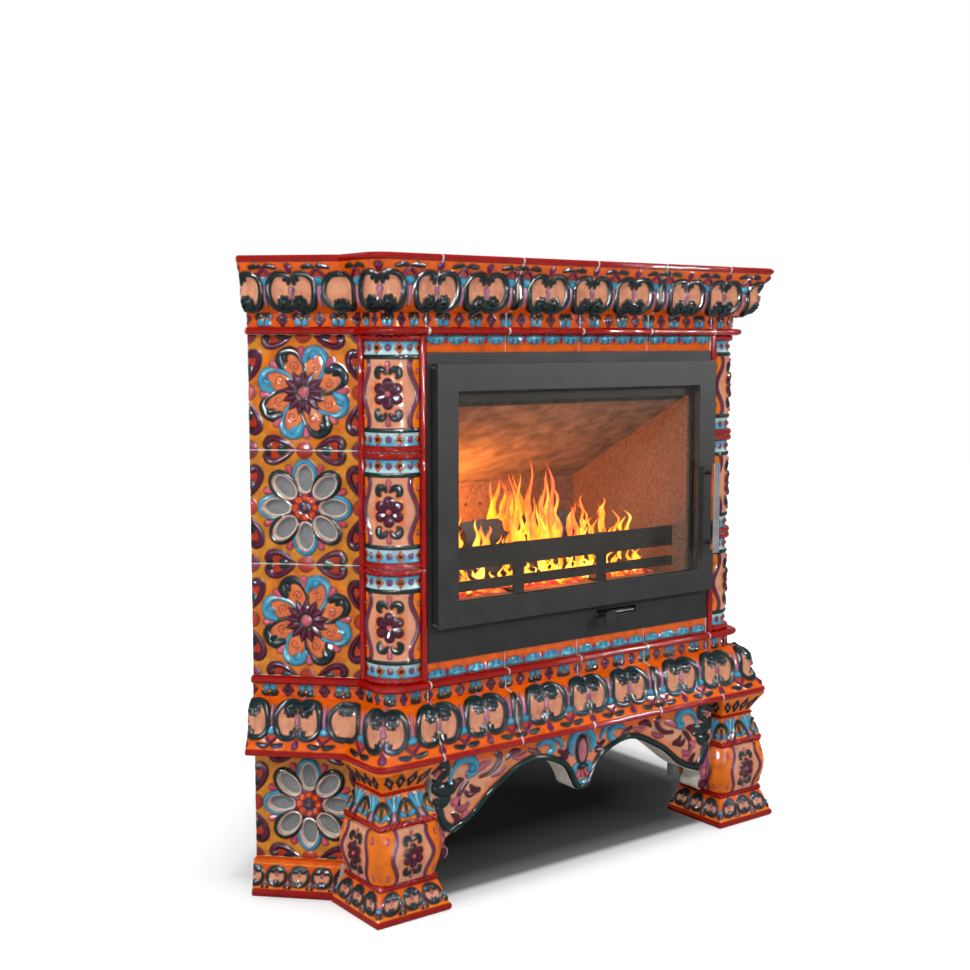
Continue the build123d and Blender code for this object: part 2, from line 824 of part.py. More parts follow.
with BuildPart() as insert_feet:
    for side in (-1, 1):
        for y in (foot_inset, casing_depth - foot_inset):
            with BuildSketch(Plane.XY.offset(slab_top)):
                with Locations((side * (casing_half - foot_inset), y)):
                    Circle(foot_radius)
            extrude(amount=2 * casing_wall)
            with BuildSketch(Plane.XY.offset(slab_top)):
                with Locations((side * (casing_half - foot_inset), y)):
                    Circle(foot_radius / 3)
            extrude(amount=casing_foot)
save(insert_feet.part, "insert_feet")

with BuildPart() as flue_collar:
    with BuildSketch(Plane.XY.offset(casing_high)):
        with Locations((0, flue_from_front)):
            Circle(flue_radius + flue_flange)
            Circle(flue_radius, mode=Mode.SUBTRACT)
    extrude(amount=casing_wall)
    with BuildSketch(Plane.XY.offset(casing_high)):
        with Locations((0, flue_from_front)):
            Circle(flue_radius + flue_wall)
            Circle(flue_radius, mode=Mode.SUBTRACT)
    extrude(amount=flue_top - casing_high)
save(flue_collar.part, "flue_collar")

# ------------------------------------------------------------------ firebox lining
lined_half = inner_half - grout
back_face = inner_back - back_lining
grate_half_x = grate_size[0] / 2
grate_half_y = grate_size[1] / 2
grate_step = grate_thickness * 0.8
with BuildPart() as hearth_floor:
    add(block((-lined_half, lined_half), (lining_front, inner_back - grout), (hearth_low, hearth_top)))
    for extra, top in ((-grate_step, hearth_top), (0, hearth_top)):
        low = hearth_low if extra else hearth_top - grate_thickness
        wide = grate_half_x + grout + extra
        deep = grate_half_y + grout + extra
        well = block((-wide, wide), (grate_from_front - deep, grate_from_front + deep), (low, top))
        add(well, mode=Mode.SUBTRACT)
save(hearth_floor.part, "hearth_floor")

with BuildPart() as fire_grate:
    x_limits = (-grate_half_x, grate_half_x)
    y_limits = (grate_from_front - grate_half_y, grate_from_front + grate_half_y)
    add(block(x_limits, y_limits, (hearth_top - grate_thickness, hearth_top)))
    with BuildSketch(Plane.XY.offset(hearth_top - grate_thickness)):
        with Locations((0, grate_from_front)):
            with GridLocations(grate_size[0] / (grate_slots + 1), 0, grate_slots, 1):
                SlotOverall(grate_size[1] - 4 * grate_slot, grate_slot, rotation=90)
    extrude(amount=grate_thickness, mode=Mode.SUBTRACT)
    fillet(fire_grate.edges().filter_by(Axis.Z).group_by(SortBy.LENGTH)[-1].sort_by(Axis.X)[:2], 2)
save(fire_grate.part, "fire_grate")

with BuildPart() as ash_pan:
    pan_half_x = grate_half_x - pan_margin
    pan_half_y = grate_half_y - pan_margin
    pan_low = casing_low + casing_wall
    y_limits = (grate_from_front - pan_half_y, grate_from_front + pan_half_y)
    add(block((-pan_half_x, pan_half_x), y_limits, (pan_low, pan_low + pan_height)))
    offset(amount=-pan_wall, openings=ash_pan.faces().sort_by(Axis.Z)[-1])
save(ash_pan.part, "ash_pan")

with BuildPart() as back_panel:
    add(block((-lined_half, lined_half), (back_face, inner_back - grout), (hearth_top, back_lining_top)))
    with BuildSketch(Plane.XZ.offset(-back_face)):
        with Locations((0, hearth_top + air_hole_rise)):
            with GridLocations(air_hole_pitch, 0, air_holes, 1):
                Circle(air_hole)
    extrude(amount=-back_lining, mode=Mode.SUBTRACT)
save(back_panel.part, "back_lining")

slope = (baffle_front_rise - back_lining_height) / (back_face - baffle_front)
with BuildPart() as side_panel:
    with BuildSketch(Plane.YZ.offset(-lined_half)):
        with BuildLine():
            Polyline(
                (lining_front, hearth_top),
                (back_face - grout, hearth_top),
                (back_face - grout, back_lining_top),
                (lining_front, back_lining_top + slope * (back_face - lining_front)),
                close=True,
            )
        make_face()
    extrude(amount=lining)
save_pair(side_panel.part, "side_lining")

rise = sqrt(1 + slope * slope)
baffle_seat = back_lining_top + grout / 2
with BuildPart() as baffle:
    with BuildSketch(Plane.YZ.offset(-lined_half)):
        with BuildLine():
            front_low = (baffle_front, baffle_seat + slope * (back_face - baffle_front))
            front_high = (
                baffle_front + baffle_thickness * slope / rise,
                front_low[1] + baffle_thickness / rise,
            )
            rear_high = front_high[1] - slope * (inner_back - grout - front_high[0])
            rear = inner_back - grout
            rear_edge = [(rear, rear_high), (rear, baffle_seat)]
            Polyline([(back_face, baffle_seat), front_low, front_high] + rear_edge, close=True)
        make_face()
    extrude(amount=2 * lined_half)
save(baffle.part, "baffle")

# ------------------------------------------------------------------ log guard and firewood
bar_back = guard_from_front + guard_bar
with BuildPart() as log_guard:
    for low, high in (guard_upper, guard_lower):
        bar_z = (hearth_top + low, hearth_top + high)
        add(block((-guard_half, guard_half), (guard_from_front, bar_back), bar_z))
    for side in (-1, 1):
        post = (side * guard_post_at - guard_post_width / 2, side * guard_post_at + guard_post_width / 2)
        add(block(post, (bar_back, bar_back + guard_bar), (hearth_top, hearth_top + guard_upper[1])))
        add(block(post, (bar_back, bar_back + 8 * guard_bar), (hearth_top, hearth_top + guard_bar)))
save(log_guard.part, "log_guard")

small_log = log_radius * 0.86
log_places = (
    (log_radius, log_lengths[0], -12, -0.55 * grate_half_y, log_radius, 3),
    (small_log, log_lengths[1], 30, 0.55 * grate_half_y, small_log, -2),
    (small_log, log_lengths[2], 16, 4, 2.34 * log_radius, 2),
)
with BuildPart() as firewood:
    for radius, length, x, y, lift, turn in log_places:
        centre = (x, grate_from_front + y, hearth_top + lift + running_gap)
        with Locations(Plane(centre, z_dir=(cos(radians(turn)), sin(radians(turn)), 0))):
            Cylinder(radius, length)
save(firewood.part, "firewood")

# ------------------------------------------------------------------ air control
slide_low = slot_low + (slot_height - slide_thickness) / 2
tab_x = slot_left + tab_side_gap + tab_width / 2
slide_travel = slot_right - slot_left - tab_width - 2 * tab_side_gap
port_pitch = slide_travel / 1.5
with BuildPart() as air_slide:
    x_limits = (tab_x - slide_width / 2, tab_x + slide_width / 2)
    add(block(x_limits, (slide_thickness / 2, slide_depth), (slide_low, slide_low + slide_thickness)))
    tab = (tab_x - tab_width / 2, tab_x + tab_width / 2)
    add(block(tab, (-tab_reach, slide_thickness), (slide_low, slide_low + slide_thickness)))
    lip = (slide_low - tab_drop, slide_low + tab_rise)
    add(block(tab, (-tab_reach - slide_thickness, -tab_reach), lip))
    with BuildSketch(Plane.XY.offset(slide_low)):
        with Locations((tab_x, slide_depth / 2)):
            with GridLocations(port_pitch, 0, air_ports, 1):
                Circle(air_port)
    extrude(amount=slide_thickness, mode=Mode.SUBTRACT)
save(air_slide.part, "air_slide")

floor_top = slide_low - running_gap
with BuildPart() as air_floor:
    add(block((-lined_half, lined_half), (grout, air_floor_depth), (floor_top - slide_thickness, floor_top)))
    with BuildSketch(Plane.XY.offset(floor_top - slide_thickness)):
        with Locations((tab_x + slide_travel, slide_depth / 2)):
            with GridLocations(port_pitch, 0, air_ports, 1):
                Circle(air_port)
    extrude(amount=slide_thickness, mode=Mode.SUBTRACT)
    rail_x = (tab_x - slide_width / 2, tab_x + slide_travel + slide_width / 2)
    rail_y = (slide_depth + running_gap, slide_depth + running_gap + slide_thickness)
    add(block(rail_x, rail_y, (floor_top, floor_top + 3 * slide_thickness)))
save(air_floor.part, "air_box_floor")

# ------------------------------------------------------------------ door
door_back = -door_face + door_thickness
pan_front = -door_face + door_wall
opening_half = door_half - stile
opening_low = door_low + bottom_rail
opening_high = door_high - top_rail
pin_x = -door_half + hinge_inset[0]
pin_y = -door_face + hinge_inset[1]
lugs = []
for end in (1, -1):
    wall_inside = (door_high if end == 1 else door_low) - end * (door_wall + running_gap)
    lugs.append((end, sorted((wall_inside, wall_inside - end * lug_thickness))))

with BuildPart() as door_frame:
    add(block((-door_half, door_half), (-door_face, door_back), (door_low, door_high)))
    inside = (-door_half + door_wall, door_half - door_wall)
    tray = block(inside, (pan_front, door_back), (door_low + door_wall, door_high - door_wall))
    add(tray, mode=Mode.SUBTRACT)
    window = block((-opening_half, opening_half), (-door_face, pan_front), (opening_low, opening_high))
    add(window, mode=Mode.SUBTRACT)
    for end, (low, high) in lugs:
        notch = (low - running_gap, high + running_gap)
        add(block((-door_half, -door_half + door_wall), (pan_front, door_back), notch), mode=Mode.SUBTRACT)
        with BuildSketch(Plane.XY.offset(door_high - door_wall if end == 1 else door_low)):
            with Locations((pin_x, pin_y)):
                Circle(pin_radius + pin_clearance)
        extrude(amount=door_wall, mode=Mode.SUBTRACT)
save(door_frame.part, "door_frame")

with BuildPart() as hinge_brackets:
    for end, (low, high) in lugs:
        sides = (pin_x - lug_half, pin_x + lug_half)
        add(block(sides, (pin_y - pin_radius - 2, -plate_thickness), (low, high)))
        with BuildSketch(Plane.XY.offset(low if end == 1 else door_low)):
            with Locations((pin_x, pin_y)):
                Circle(pin_radius)
        extrude(amount=door_high - low if end == 1 else high - door_low)
save(hinge_brackets.part, "hinge_brackets")

pane_half = opening_half + glass_lap
pane_low = opening_low - glass_lap
pane_high = opening_high + glass_lap
pane_front = pan_front + seat_gap
pane_back = pane_front + glass_thickness
save(block((-pane_half, pane_half), (pane_front, pane_back), (pane_low, pane_high)), "door_glass")

keeper_front = pane_back + seat_gap
keeper_back = keeper_front + retainer_thickness
sill = opening_half + retainer_lap
keeper_half = sill + retainer_width
keeper_low = opening_low - retainer_lap - retainer_width
keeper_high = opening_high + retainer_lap + retainer_width
with BuildPart() as glass_retainer:
    add(block((-keeper_half, keeper_half), (pane_front, keeper_back), (keeper_low, keeper_high)))
    window_z = (opening_low - retainer_lap, opening_high + retainer_lap)
    add(block((-sill, sill), (pane_front, keeper_back), window_z), mode=Mode.SUBTRACT)
    seat = pane_half + running_gap
    seat_z = (pane_low - running_gap, pane_high + running_gap)
    add(block((-seat, seat), (pane_front, keeper_front), seat_z), mode=Mode.SUBTRACT)
save(glass_retainer.part, "glass_retainer")

rope_y = keeper_back + seal_radius
with BuildSketch(Plane.XZ.offset(-rope_y)) as rope_loop:
    with Locations((0, (keeper_low + keeper_high) / 2)):
        rope_size = (2 * (keeper_half - seal_radius), keeper_high - keeper_low - 2 * seal_radius)
        RectangleRounded(*rope_size, 2 * seal_radius)
rope_path = rope_loop.sketch.face().outer_wire()
with BuildPart() as door_seal:
    with BuildSketch(Plane(rope_path @ 0, z_dir=rope_path % 0)):
        Circle(seal_radius)
    sweep(path=rope_path)
save(door_seal.part, "door_seal")

handle_back = -door_face - handle_reach
with BuildPart() as door_handle:
    bar_low = handle_middle - handle_length / 2
    bar = (handle_x - handle_width / 2, handle_x + handle_width / 2)
    add(block(bar, (handle_back - handle_depth, handle_back), (bar_low, bar_low + handle_length)))
    fillet(door_handle.edges().filter_by(Axis.Z), 2)
    for z in (bar_low + handle_post_inset, bar_low + handle_length - handle_post_inset):
        with BuildSketch(Plane.XZ.offset(door_face)):
            with Locations((handle_x, z)):
                Circle(handle_post)
        extrude(amount=handle_reach)
save(door_handle.part, "door_handle")

stud_x = door_half - stud_inset
leaf_in = stud_radius + leaf_gap
with BuildPart() as door_latch:
    sides = (stud_x - 1.5 * stud_radius, stud_x + 1.5 * stud_radius)
    reach = leaf_in + leaf_thickness
    add(block(sides, (pan_front, pan_front + leaf_thickness), (handle_middle - reach, handle_middle + reach)))
    for side in (-1, 1):
        leaf = sorted((handle_middle + side * leaf_in, handle_middle + side * reach))
        add(block(sides, (pan_front, door_back), leaf))
save(door_latch.part, "door_latch")

with BuildPart() as latch_stud:
    with BuildSketch(Plane.XZ.offset(plate_thickness)):
        with Locations((stud_x, handle_middle)):
            Circle(stud_radius)
    extrude(amount=door_thickness - 2 * leaf_thickness)
save(latch_stud.part, "latch_stud")
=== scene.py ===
from math import cos, pi, radians, sin, sqrt

import bpy
import numpy as np
from mathutils import Euler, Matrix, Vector


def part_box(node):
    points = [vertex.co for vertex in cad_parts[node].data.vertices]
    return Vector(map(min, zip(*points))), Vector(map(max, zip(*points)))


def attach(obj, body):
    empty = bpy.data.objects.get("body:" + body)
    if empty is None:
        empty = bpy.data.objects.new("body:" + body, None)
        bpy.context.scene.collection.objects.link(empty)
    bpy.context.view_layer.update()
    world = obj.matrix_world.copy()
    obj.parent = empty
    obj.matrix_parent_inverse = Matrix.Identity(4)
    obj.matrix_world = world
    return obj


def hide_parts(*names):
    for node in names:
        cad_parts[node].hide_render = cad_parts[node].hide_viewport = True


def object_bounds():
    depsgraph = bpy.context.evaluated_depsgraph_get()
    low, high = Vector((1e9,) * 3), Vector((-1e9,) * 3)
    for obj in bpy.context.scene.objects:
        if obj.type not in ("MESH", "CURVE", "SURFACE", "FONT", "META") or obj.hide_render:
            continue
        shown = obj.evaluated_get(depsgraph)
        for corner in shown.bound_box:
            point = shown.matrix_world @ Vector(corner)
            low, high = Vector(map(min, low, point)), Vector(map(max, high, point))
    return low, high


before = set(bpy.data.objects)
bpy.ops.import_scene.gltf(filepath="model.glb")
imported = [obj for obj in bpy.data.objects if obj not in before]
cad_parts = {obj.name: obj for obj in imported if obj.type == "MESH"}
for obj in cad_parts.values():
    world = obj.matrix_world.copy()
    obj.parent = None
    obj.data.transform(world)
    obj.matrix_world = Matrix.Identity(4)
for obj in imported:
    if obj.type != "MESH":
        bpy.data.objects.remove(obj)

CAD_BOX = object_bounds()
MIDDLE_Y = 345.35  # mm from the stove's front face back to the frame's origin
STEP = 1.5  # mm between grid points of the glaze
ROOT2 = sqrt(2)
TURN = 2 * pi
SIDES = ("left", "right")


# ------------------------------------------------------------------ colours (sRGB)
def lin(c):
    c = np.array(c, float)
    return np.where(c < 0.04045, c / 12.92, ((c + 0.055) / 1.055) ** 2.4)


OCHRE = (0.84, 0.50, 0.13)
ORANGE = (0.90, 0.38, 0.03)
RED = (0.60, 0.03, 0.0)
REDDISH = (0.80, 0.24, 0.06)
TERRA = (0.68, 0.19, 0.08)
GREEN = (0.0, 0.13, 0.135)
PEACH = (0.86, 0.60, 0.47)
WARM_PEACH = (0.86, 0.46, 0.27)
CYAN = (0.25, 0.61, 0.75)
# pale cyan for painted highlight lines laid flat on cyan glaze
PAINTED_CYAN_HIGHLIGHT = (0.62, 0.83, 0.86)
PLUM = (0.31, 0.05, 0.17)
DARK_PLUM = (0.20, 0.04, 0.10)
PINK = (0.78, 0.38, 0.46)
LILAC = (0.70, 0.46, 0.60)
MAGENTA = (0.62, 0.08, 0.33)
BROWN = (0.45, 0.11, 0.04)
AMBER = (0.96, 0.55, 0.12)
MAUVE = (0.62, 0.30, 0.42)
WINE = (0.42, 0.15, 0.29)
HEATHER = (0.46, 0.15, 0.32)
SCORCH = (0.91, 0.42, 0.12)
FOLD = (0.78, 0.46, 0.34)
JOIN = (0.62, 0.20, 0.02)
DEEP_CYAN = (0.08, 0.38, 0.52)
ROSE = (0.78, 0.36, 0.42)
WHITE = (1, 1, 1, 1)


# ------------------------------------------------------------------ painting relief on a grid
FAR = 1e9  # mm, further than anything on a tile


def smooth_path(points, radii, per=5):
    """A curve through the points, in short steps, and its radius at each."""
    q = np.c_[np.array(points, float), np.array(radii, float) * np.ones(len(points))]
    ext = np.vstack([2 * q[0] - q[1], q, 2 * q[-1] - q[-2]])
    out = []
    for i in range(1, len(ext) - 2):
        a, b, c, d = ext[i - 1:i + 3]
        for t in np.arange(per) / per:
            out.append(b + 0.5 * ((c - a) * t + (2 * a - 5 * b + 4 * c - d) * t ** 2
                                  + (3 * b - a - 3 * c + d) * t ** 3))
    out.append(q[-1])
    out = np.array(out)
    return out[:, :2], np.maximum(out[:, 2], 0.25)


def segment_distance(X, Y, a, b):
    """Distance to the line from a to b, and how far along it the nearest point lies."""
    dx, dy = b[0] - a[0], b[1] - a[1]
    t = np.clip(((X - a[0]) * dx + (Y - a[1]) * dy) / max(dx * dx + dy * dy, 1e-9), 0, 1)
    return np.hypot(X - a[0] - dx * t, Y - a[1] - dy * t), t


def polygon_sd(X, Y, points):
    """Signed distance to a closed outline, negative inside."""
    best = np.full(np.broadcast(X, Y).shape, FAR)
    inside = np.zeros(best.shape, bool)
    n = len(points)
    for i in range(n):
        a, b = points[i], points[(i + 1) % n]
        best = np.minimum(best, segment_distance(X, Y, a, b)[0])
        if a[1] != b[1]:
            cross = (a[1] > Y) != (b[1] > Y)
            inside ^= cross & (X < (b[0] - a[0]) * (Y - a[1]) / (b[1] - a[1]) + a[0])
    return np.where(inside, -best, best)


def ellipse(x, y, across, up, count):
    """Points clockwise from the top and back to it."""
    return [(x + across * sin(t), y + up * cos(t)) for t in np.linspace(0, TURN, count)]


class Canvas:
    """Heights in mm and linear colours over a flat grid of u and v in mm."""

    HALO, HALO_OUT, HALO_FADE = 0.68, 1.7, 2.0  # darker glaze pooled round raised forms, and painted contact shade there: how much, how wide

    def __init__(self, u, v, ground, seed=1):
        self.u, self.v = np.asarray(u, float), np.asarray(v, float)
        self.soft = 1.1 * max(STEP, 1.2)
        self.H = np.zeros((len(u), len(v)))
        self.C = np.zeros((len(u), len(v), 3)) + lin(ground)
        self.seed = seed

    def window(self, low, high):
        """Slices and coordinates of the grid between two corners; the last is None where it is empty."""
        i0, i1 = np.searchsorted(self.u, (low[0], high[0]))
        j0, j1 = np.searchsorted(self.v, (low[1], high[1]))
        X, Y = self.u[i0:i1, None], self.v[None, j0:j1]
        return (slice(i0, i1), slice(j0, j1)), X, Y, X.size and Y.size

    def tint(self, win, colour, share):
        """Move the colour of a window, or of everything for ..., towards another one."""
        self.C[win] += (colour - self.C[win]) * share[..., None]

    def paint(self, win, gap, height, colour, halo=False):
        """Colour and raise what lies inside a form; gap is the signed distance to its edge."""
        share = np.clip(0.5 - gap / self.soft, 0, 1)
        # halo: a darker band just outside the form, part pooled glaze and part painted contact shade
        if halo:
            pool_and_shade = np.clip(0.5 - (gap - self.HALO_OUT) / self.HALO_FADE, 0, 1)
            self.C[win] *= (1 - self.HALO * pool_and_shade)[..., None]
        if height is not None:
            self.H[win] += (height - self.H[win]) * share
        self.tint(win, colour, share)

    def stroke(self, points, radii, high, colour, low=0.0, dark=0.62, halo=True):
        """A rounded roll of varying width along a smooth path, darker at its edges."""
        points = np.array(points, float).reshape(-1, 2)
        radii = np.array(radii, float) * np.ones(len(points))
        top = radii.max()
        if len(points) > 2:
            points, radii = smooth_path(points, radii)
        if len(points) == 1:
            points, radii = np.vstack([points, points + 0.01]), np.r_[radii, radii]
        win, X, Y, filled = self.window(points.min(0) - top - 4, points.max(0) + top + 4)
        if not filled:
            return
        gap = np.full((X.shape[0], Y.shape[1]), FAR)
        R = np.ones(gap.shape)
        for i in range(len(points) - 1):
            dist, t = segment_distance(X, Y, points[i], points[i + 1])
            r = radii[i] + (radii[i + 1] - radii[i]) * t
            near = dist - r < gap
            gap = np.where(near, dist - r, gap)
            R = np.where(near, r, R)
        dome = np.sqrt(1 - np.clip(1 + gap / R, 0, 1) ** 2)
        shaded = lin(colour) * ((1 - dark) + dark * dome ** 0.8)[..., None]
        self.paint(win, gap, low + high * (R / top) ** 0.8 * dome, shaded, halo)

    def oval(self, centre, rx, ry, high, colour, dark=0.5, halo=True, flat=1.0):
        """A domed ellipse; flat below 1 cuts its top level."""
        reach = max(rx, ry) + 4
        win, X, Y, filled = self.window(np.subtract(centre, reach), np.add(centre, reach))
        if not filled:
            return
        q = np.hypot((X - centre[0]) / rx, (Y - centre[1]) / ry)
        dome = np.clip(np.sqrt(np.clip(1 - q * q, 0, 1)) / flat, 0, 1)
        shaded = lin(colour) * ((1 - dark) + dark * dome)[..., None]
        self.paint(win, (q - 1) * min(rx, ry), high * dome, shaded, halo)

    def fill(self, points, colour, low=None):
        """A flat polygon, at its own height where low is given."""
        points = np.array(points, float)
        win, X, Y, filled = self.window(points.min(0) - 3, points.max(0) + 3)
        if filled:
            self.paint(win, polygon_sd(X, Y, points), low, lin(colour))

    def band(self, bottom, top, colour, low=None):
        """A stripe over the whole width between two heights."""
        left, right = self.u[0] - 5, self.u[-1] + 5
        self.fill([(left, bottom), (right, bottom), (right, top), (left, top)], colour, low)

    def groove(self, points, radius, deep, colour, strength=1.0):
        """A thin cut along a smooth path, painted as strongly as asked."""
        points = smooth_path(points, radius)[0]
        win, X, Y, filled = self.window(points.min(0) - 3, points.max(0) + 3)
        if not filled:
            return
        gap = np.full((X.shape[0], Y.shape[1]), FAR)
        for a, b in zip(points[:-1], points[1:]):
            gap = np.minimum(gap, segment_distance(X, Y, a, b)[0])
        share = np.clip(1.15 - gap / (radius + 0.5 * self.soft), 0, 1)
        self.H[win] -= deep * share
        self.tint(win, lin(colour), share * strength)

    def line(self, height, radius, deep, colour, strength):
        """A groove over the whole width at one height."""
        ends = (self.u[0] - 5, self.u.mean(), self.u[-1] + 5)
        self.groove([(u, height) for u in ends], radius, deep, colour, strength)

    def mottle(self, amount=0.16, scale=22.0):
        """Uneven glaze: soft blotches and thin brushed streaks."""
        rng = np.random.default_rng(self.seed)
        total = np.zeros(self.H.shape)
        for size, share in ((scale, 0.6), (scale / 3, 0.4)):
            nu = int((self.u[-1] - self.u[0]) / size) + 4
            nv = int((self.v[-1] - self.v[0]) / size) + 4
            coarse = rng.uniform(-1, 1, (nu, nv))
            gu, gv = (self.u - self.u[0]) / size, (self.v - self.v[0]) / size
            iu, iv = gu.astype(int), gv.astype(int)
            fu, fv = (gu - iu)[:, None], (gv - iv)[None]
            fu, fv = fu * fu * (3 - 2 * fu), fv * fv * (3 - 2 * fv)
            a, b = coarse[np.ix_(iu, iv)], coarse[np.ix_(iu + 1, iv)]
            c, d = coarse[np.ix_(iu, iv + 1)], coarse[np.ix_(iu + 1, iv + 1)]
            total += share * ((a * (1 - fu) + b * fu) * (1 - fv) + (c * (1 - fu) + d * fu) * fv)
        self.C *= 1 + amount * total[..., None] * np.array([0.6, 1.0, 1.1])
        self.C = np.clip(self.C, 0, 1)

    def rims(self, left=True, right=True, low=True, high=True, deep=0.9, reach=2.2):
        """Round the glazed edges down into the tile body."""
        self.H = np.maximum(self.H, -0.2)
        span = np.full(self.H.shape, FAR)
        for wanted, distance in ((left, (self.u - self.u[0])[:, None]),
                                 (right, (self.u[-1] - self.u)[:, None]),
                                 (low, (self.v - self.v[0])[None]), (high, (self.v[-1] - self.v)[None])):
            if wanted:
                span = np.minimum(span, distance)
        t = np.clip(span / reach, 0, 1)
        self.H = self.H * t ** 0.5 - deep * (1 - np.sqrt(1 - (1 - t) ** 2))
        self.C *= (0.8 + 0.2 * t)[..., None]


class Pen:
    """Draws in a motif's own coordinates: x to a side, y through a map, or turned about a centre."""

    def __init__(self, canvas, u=0.0, v=0.0, side=1, turn=0.0, level=None, grow=1.0, rise=1, fat=1.0):
        self.canvas, self.u, self.v, self.level = canvas, u, v, level
        self.scale, self.swell = (side * grow, rise * grow), grow * fat
        self.c, self.s = cos(radians(turn)), sin(radians(turn))

    def at(self, points):
        p = np.array(points, float).reshape(-1, 2) * self.scale
        x = p[:, 0] * self.c - p[:, 1] * self.s
        y = p[:, 0] * self.s + p[:, 1] * self.c
        if self.level is not None:
            y = self.level(y)
        return np.c_[x + self.u, y + self.v]

    def stroke(self, points, radii, high, colour, **extra):
        self.canvas.stroke(self.at(points), np.array(radii, float) * self.swell, high, colour, **extra)

    def fill(self, points, colour, **extra):
        self.canvas.fill(self.at(points), colour, **extra)

    def groove(self, points, radius, deep, colour, **extra):
        self.canvas.groove(self.at(points), radius, deep, colour, **extra)


def axis_range(low, high, step=STEP):
    return np.linspace(low, high, max(3, int(round((high - low) / step)) + 1))


# ------------------------------------------------------------------ meshes
def grid_mesh(name, P, C, keep=None, wrap=False, cap=False, mirrored=False, outward=None):
    """A grid of points in face-frame mm becomes a mesh in metres, coloured by vertex."""
    nu, nv = P.shape[:2]
    index = np.arange(nu * nv).reshape(nu, nv)
    if wrap:
        index = np.vstack([index, index[:1]])
    quads = np.stack([index[:-1, :-1], index[1:, :-1], index[1:, 1:], index[:-1, 1:]], -1).reshape(-1, 4)
    points, colours = P.reshape(-1, 3), C.reshape(-1, 3)
    if keep is not None:
        quads = quads[keep.reshape(-1)[quads].all(1)]
        used = np.unique(quads)
        new = np.zeros(len(points), int)
        new[used] = np.arange(len(used))
        quads, points, colours = new[quads], points[used], colours[used]
    if outward is not None:
        a, b, c, d = (points[quads[:, i]] for i in range(4))
        normal = np.cross(c - a, d - b)
        centre = (a + c) / 2
        if (normal * outward(centre)).sum() < 0:
            quads = quads[:, ::-1]
    if mirrored:
        points = points * (-1, 1, 1)
        quads = quads[:, ::-1]
    faces = [quads.reshape(-1)]
    starts = np.arange(len(quads)) * 4
    if cap:
        rings = (index[:nu, 0], index[:nu, -1])
        for ring in rings:
            hub = len(points)
            points = np.vstack([points, points[ring].mean(0)])
            colours = np.vstack([colours, colours[ring].mean(0)])
            tris = np.stack([ring, np.roll(ring, -1), np.full(nu, hub)], -1)
            a, b, c = points[tris[0]]
            up = np.cross(b - a, c - a)[2] > 0
            if up != (ring is rings[1]) and points[rings[1]].mean(0)[2] > points[rings[0]].mean(0)[2]:
                tris = tris[:, ::-1]
            base = starts[-1] + (4 if len(faces) == 1 else 3)
            starts = np.r_[starts, base + np.arange(nu) * 3]
            faces.append(tris.reshape(-1))
    loops = np.concatenate(faces).astype(np.int32)
    points = (points + (0, -MIDDLE_Y, 0)) / 1000
    mesh = bpy.data.meshes.new(name)
    mesh.vertices.add(len(points))
    mesh.vertices.foreach_set("co", points.astype(np.float32).ravel())
    mesh.loops.add(len(loops))
    mesh.loops.foreach_set("vertex_index", loops)
    mesh.polygons.add(len(starts))
    mesh.polygons.foreach_set("loop_start", starts.astype(np.int32))
    mesh.polygons.foreach_set("use_smooth", np.ones(len(starts), bool))
    mesh.update(calc_edges=True)
    layer = mesh.color_attributes.new("glaze", "FLOAT_COLOR", "POINT")
    layer.data.foreach_set("color", np.c_[colours, np.ones(len(colours))].astype(np.float32).ravel())
    thing = bpy.data.objects.new(name, mesh)
    bpy.context.scene.collection.objects.link(thing)
    return thing


def grid_normals(P, wrap, outward):
    if wrap:
        du = np.roll(P, -1, 0) - np.roll(P, 1, 0)
    else:
        du = np.gradient(P, axis=0)
    dv = np.gradient(P, axis=1)
    n = np.cross(du, dv)
    n /= np.maximum(np.linalg.norm(n, axis=-1, keepdims=True), 1e-9)
    if (n * outward(P)).sum() < 0:
        n = -n
    return n


def away_from(x, y):
    """Directions level and outward from an upright axis."""
    def outward(P):
        return (P - (x, y, 0)) * (1, 1, 0)
    return outward


FROM_STOVE = away_from(0, 330)


def place(thing, material, body="root", replaces=()):
    thing.data.materials.append(material)
    if replaces:
        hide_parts(*replaces)
    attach(thing, body)


def plain_mesh(name, P, **extra):
    return grid_mesh(name, P, np.ones(P.shape), **extra)


def skin(name, P, canvas, slot, proud=0.35, wrap=False, cap=False, mirrored=False, keep=None,
         outward=FROM_STOVE, replaces=()):
    """Lay a canvas over a surface, kept inside the part's front and above the floor."""
    Q = P + grid_normals(P, wrap, outward) * (canvas.H + proud)[..., None]
    Q[..., 1] = np.maximum(Q[..., 1], CAD_BOX[0][1] * 1000 + MIDDLE_Y)
    Q[..., 2] = np.maximum(Q[..., 2], 0.1)
    place(grid_mesh(name, Q, canvas.C, keep, wrap, cap, mirrored, outward), GLAZE, "root", replaces)


def both_sides(name, P, canvas, slot, **extra):
    """The left piece, and the right one as its mirror image."""
    for side in SIDES:
        skin(f"{name}_{side}", P, canvas, slot, mirrored=side == "right", **extra)


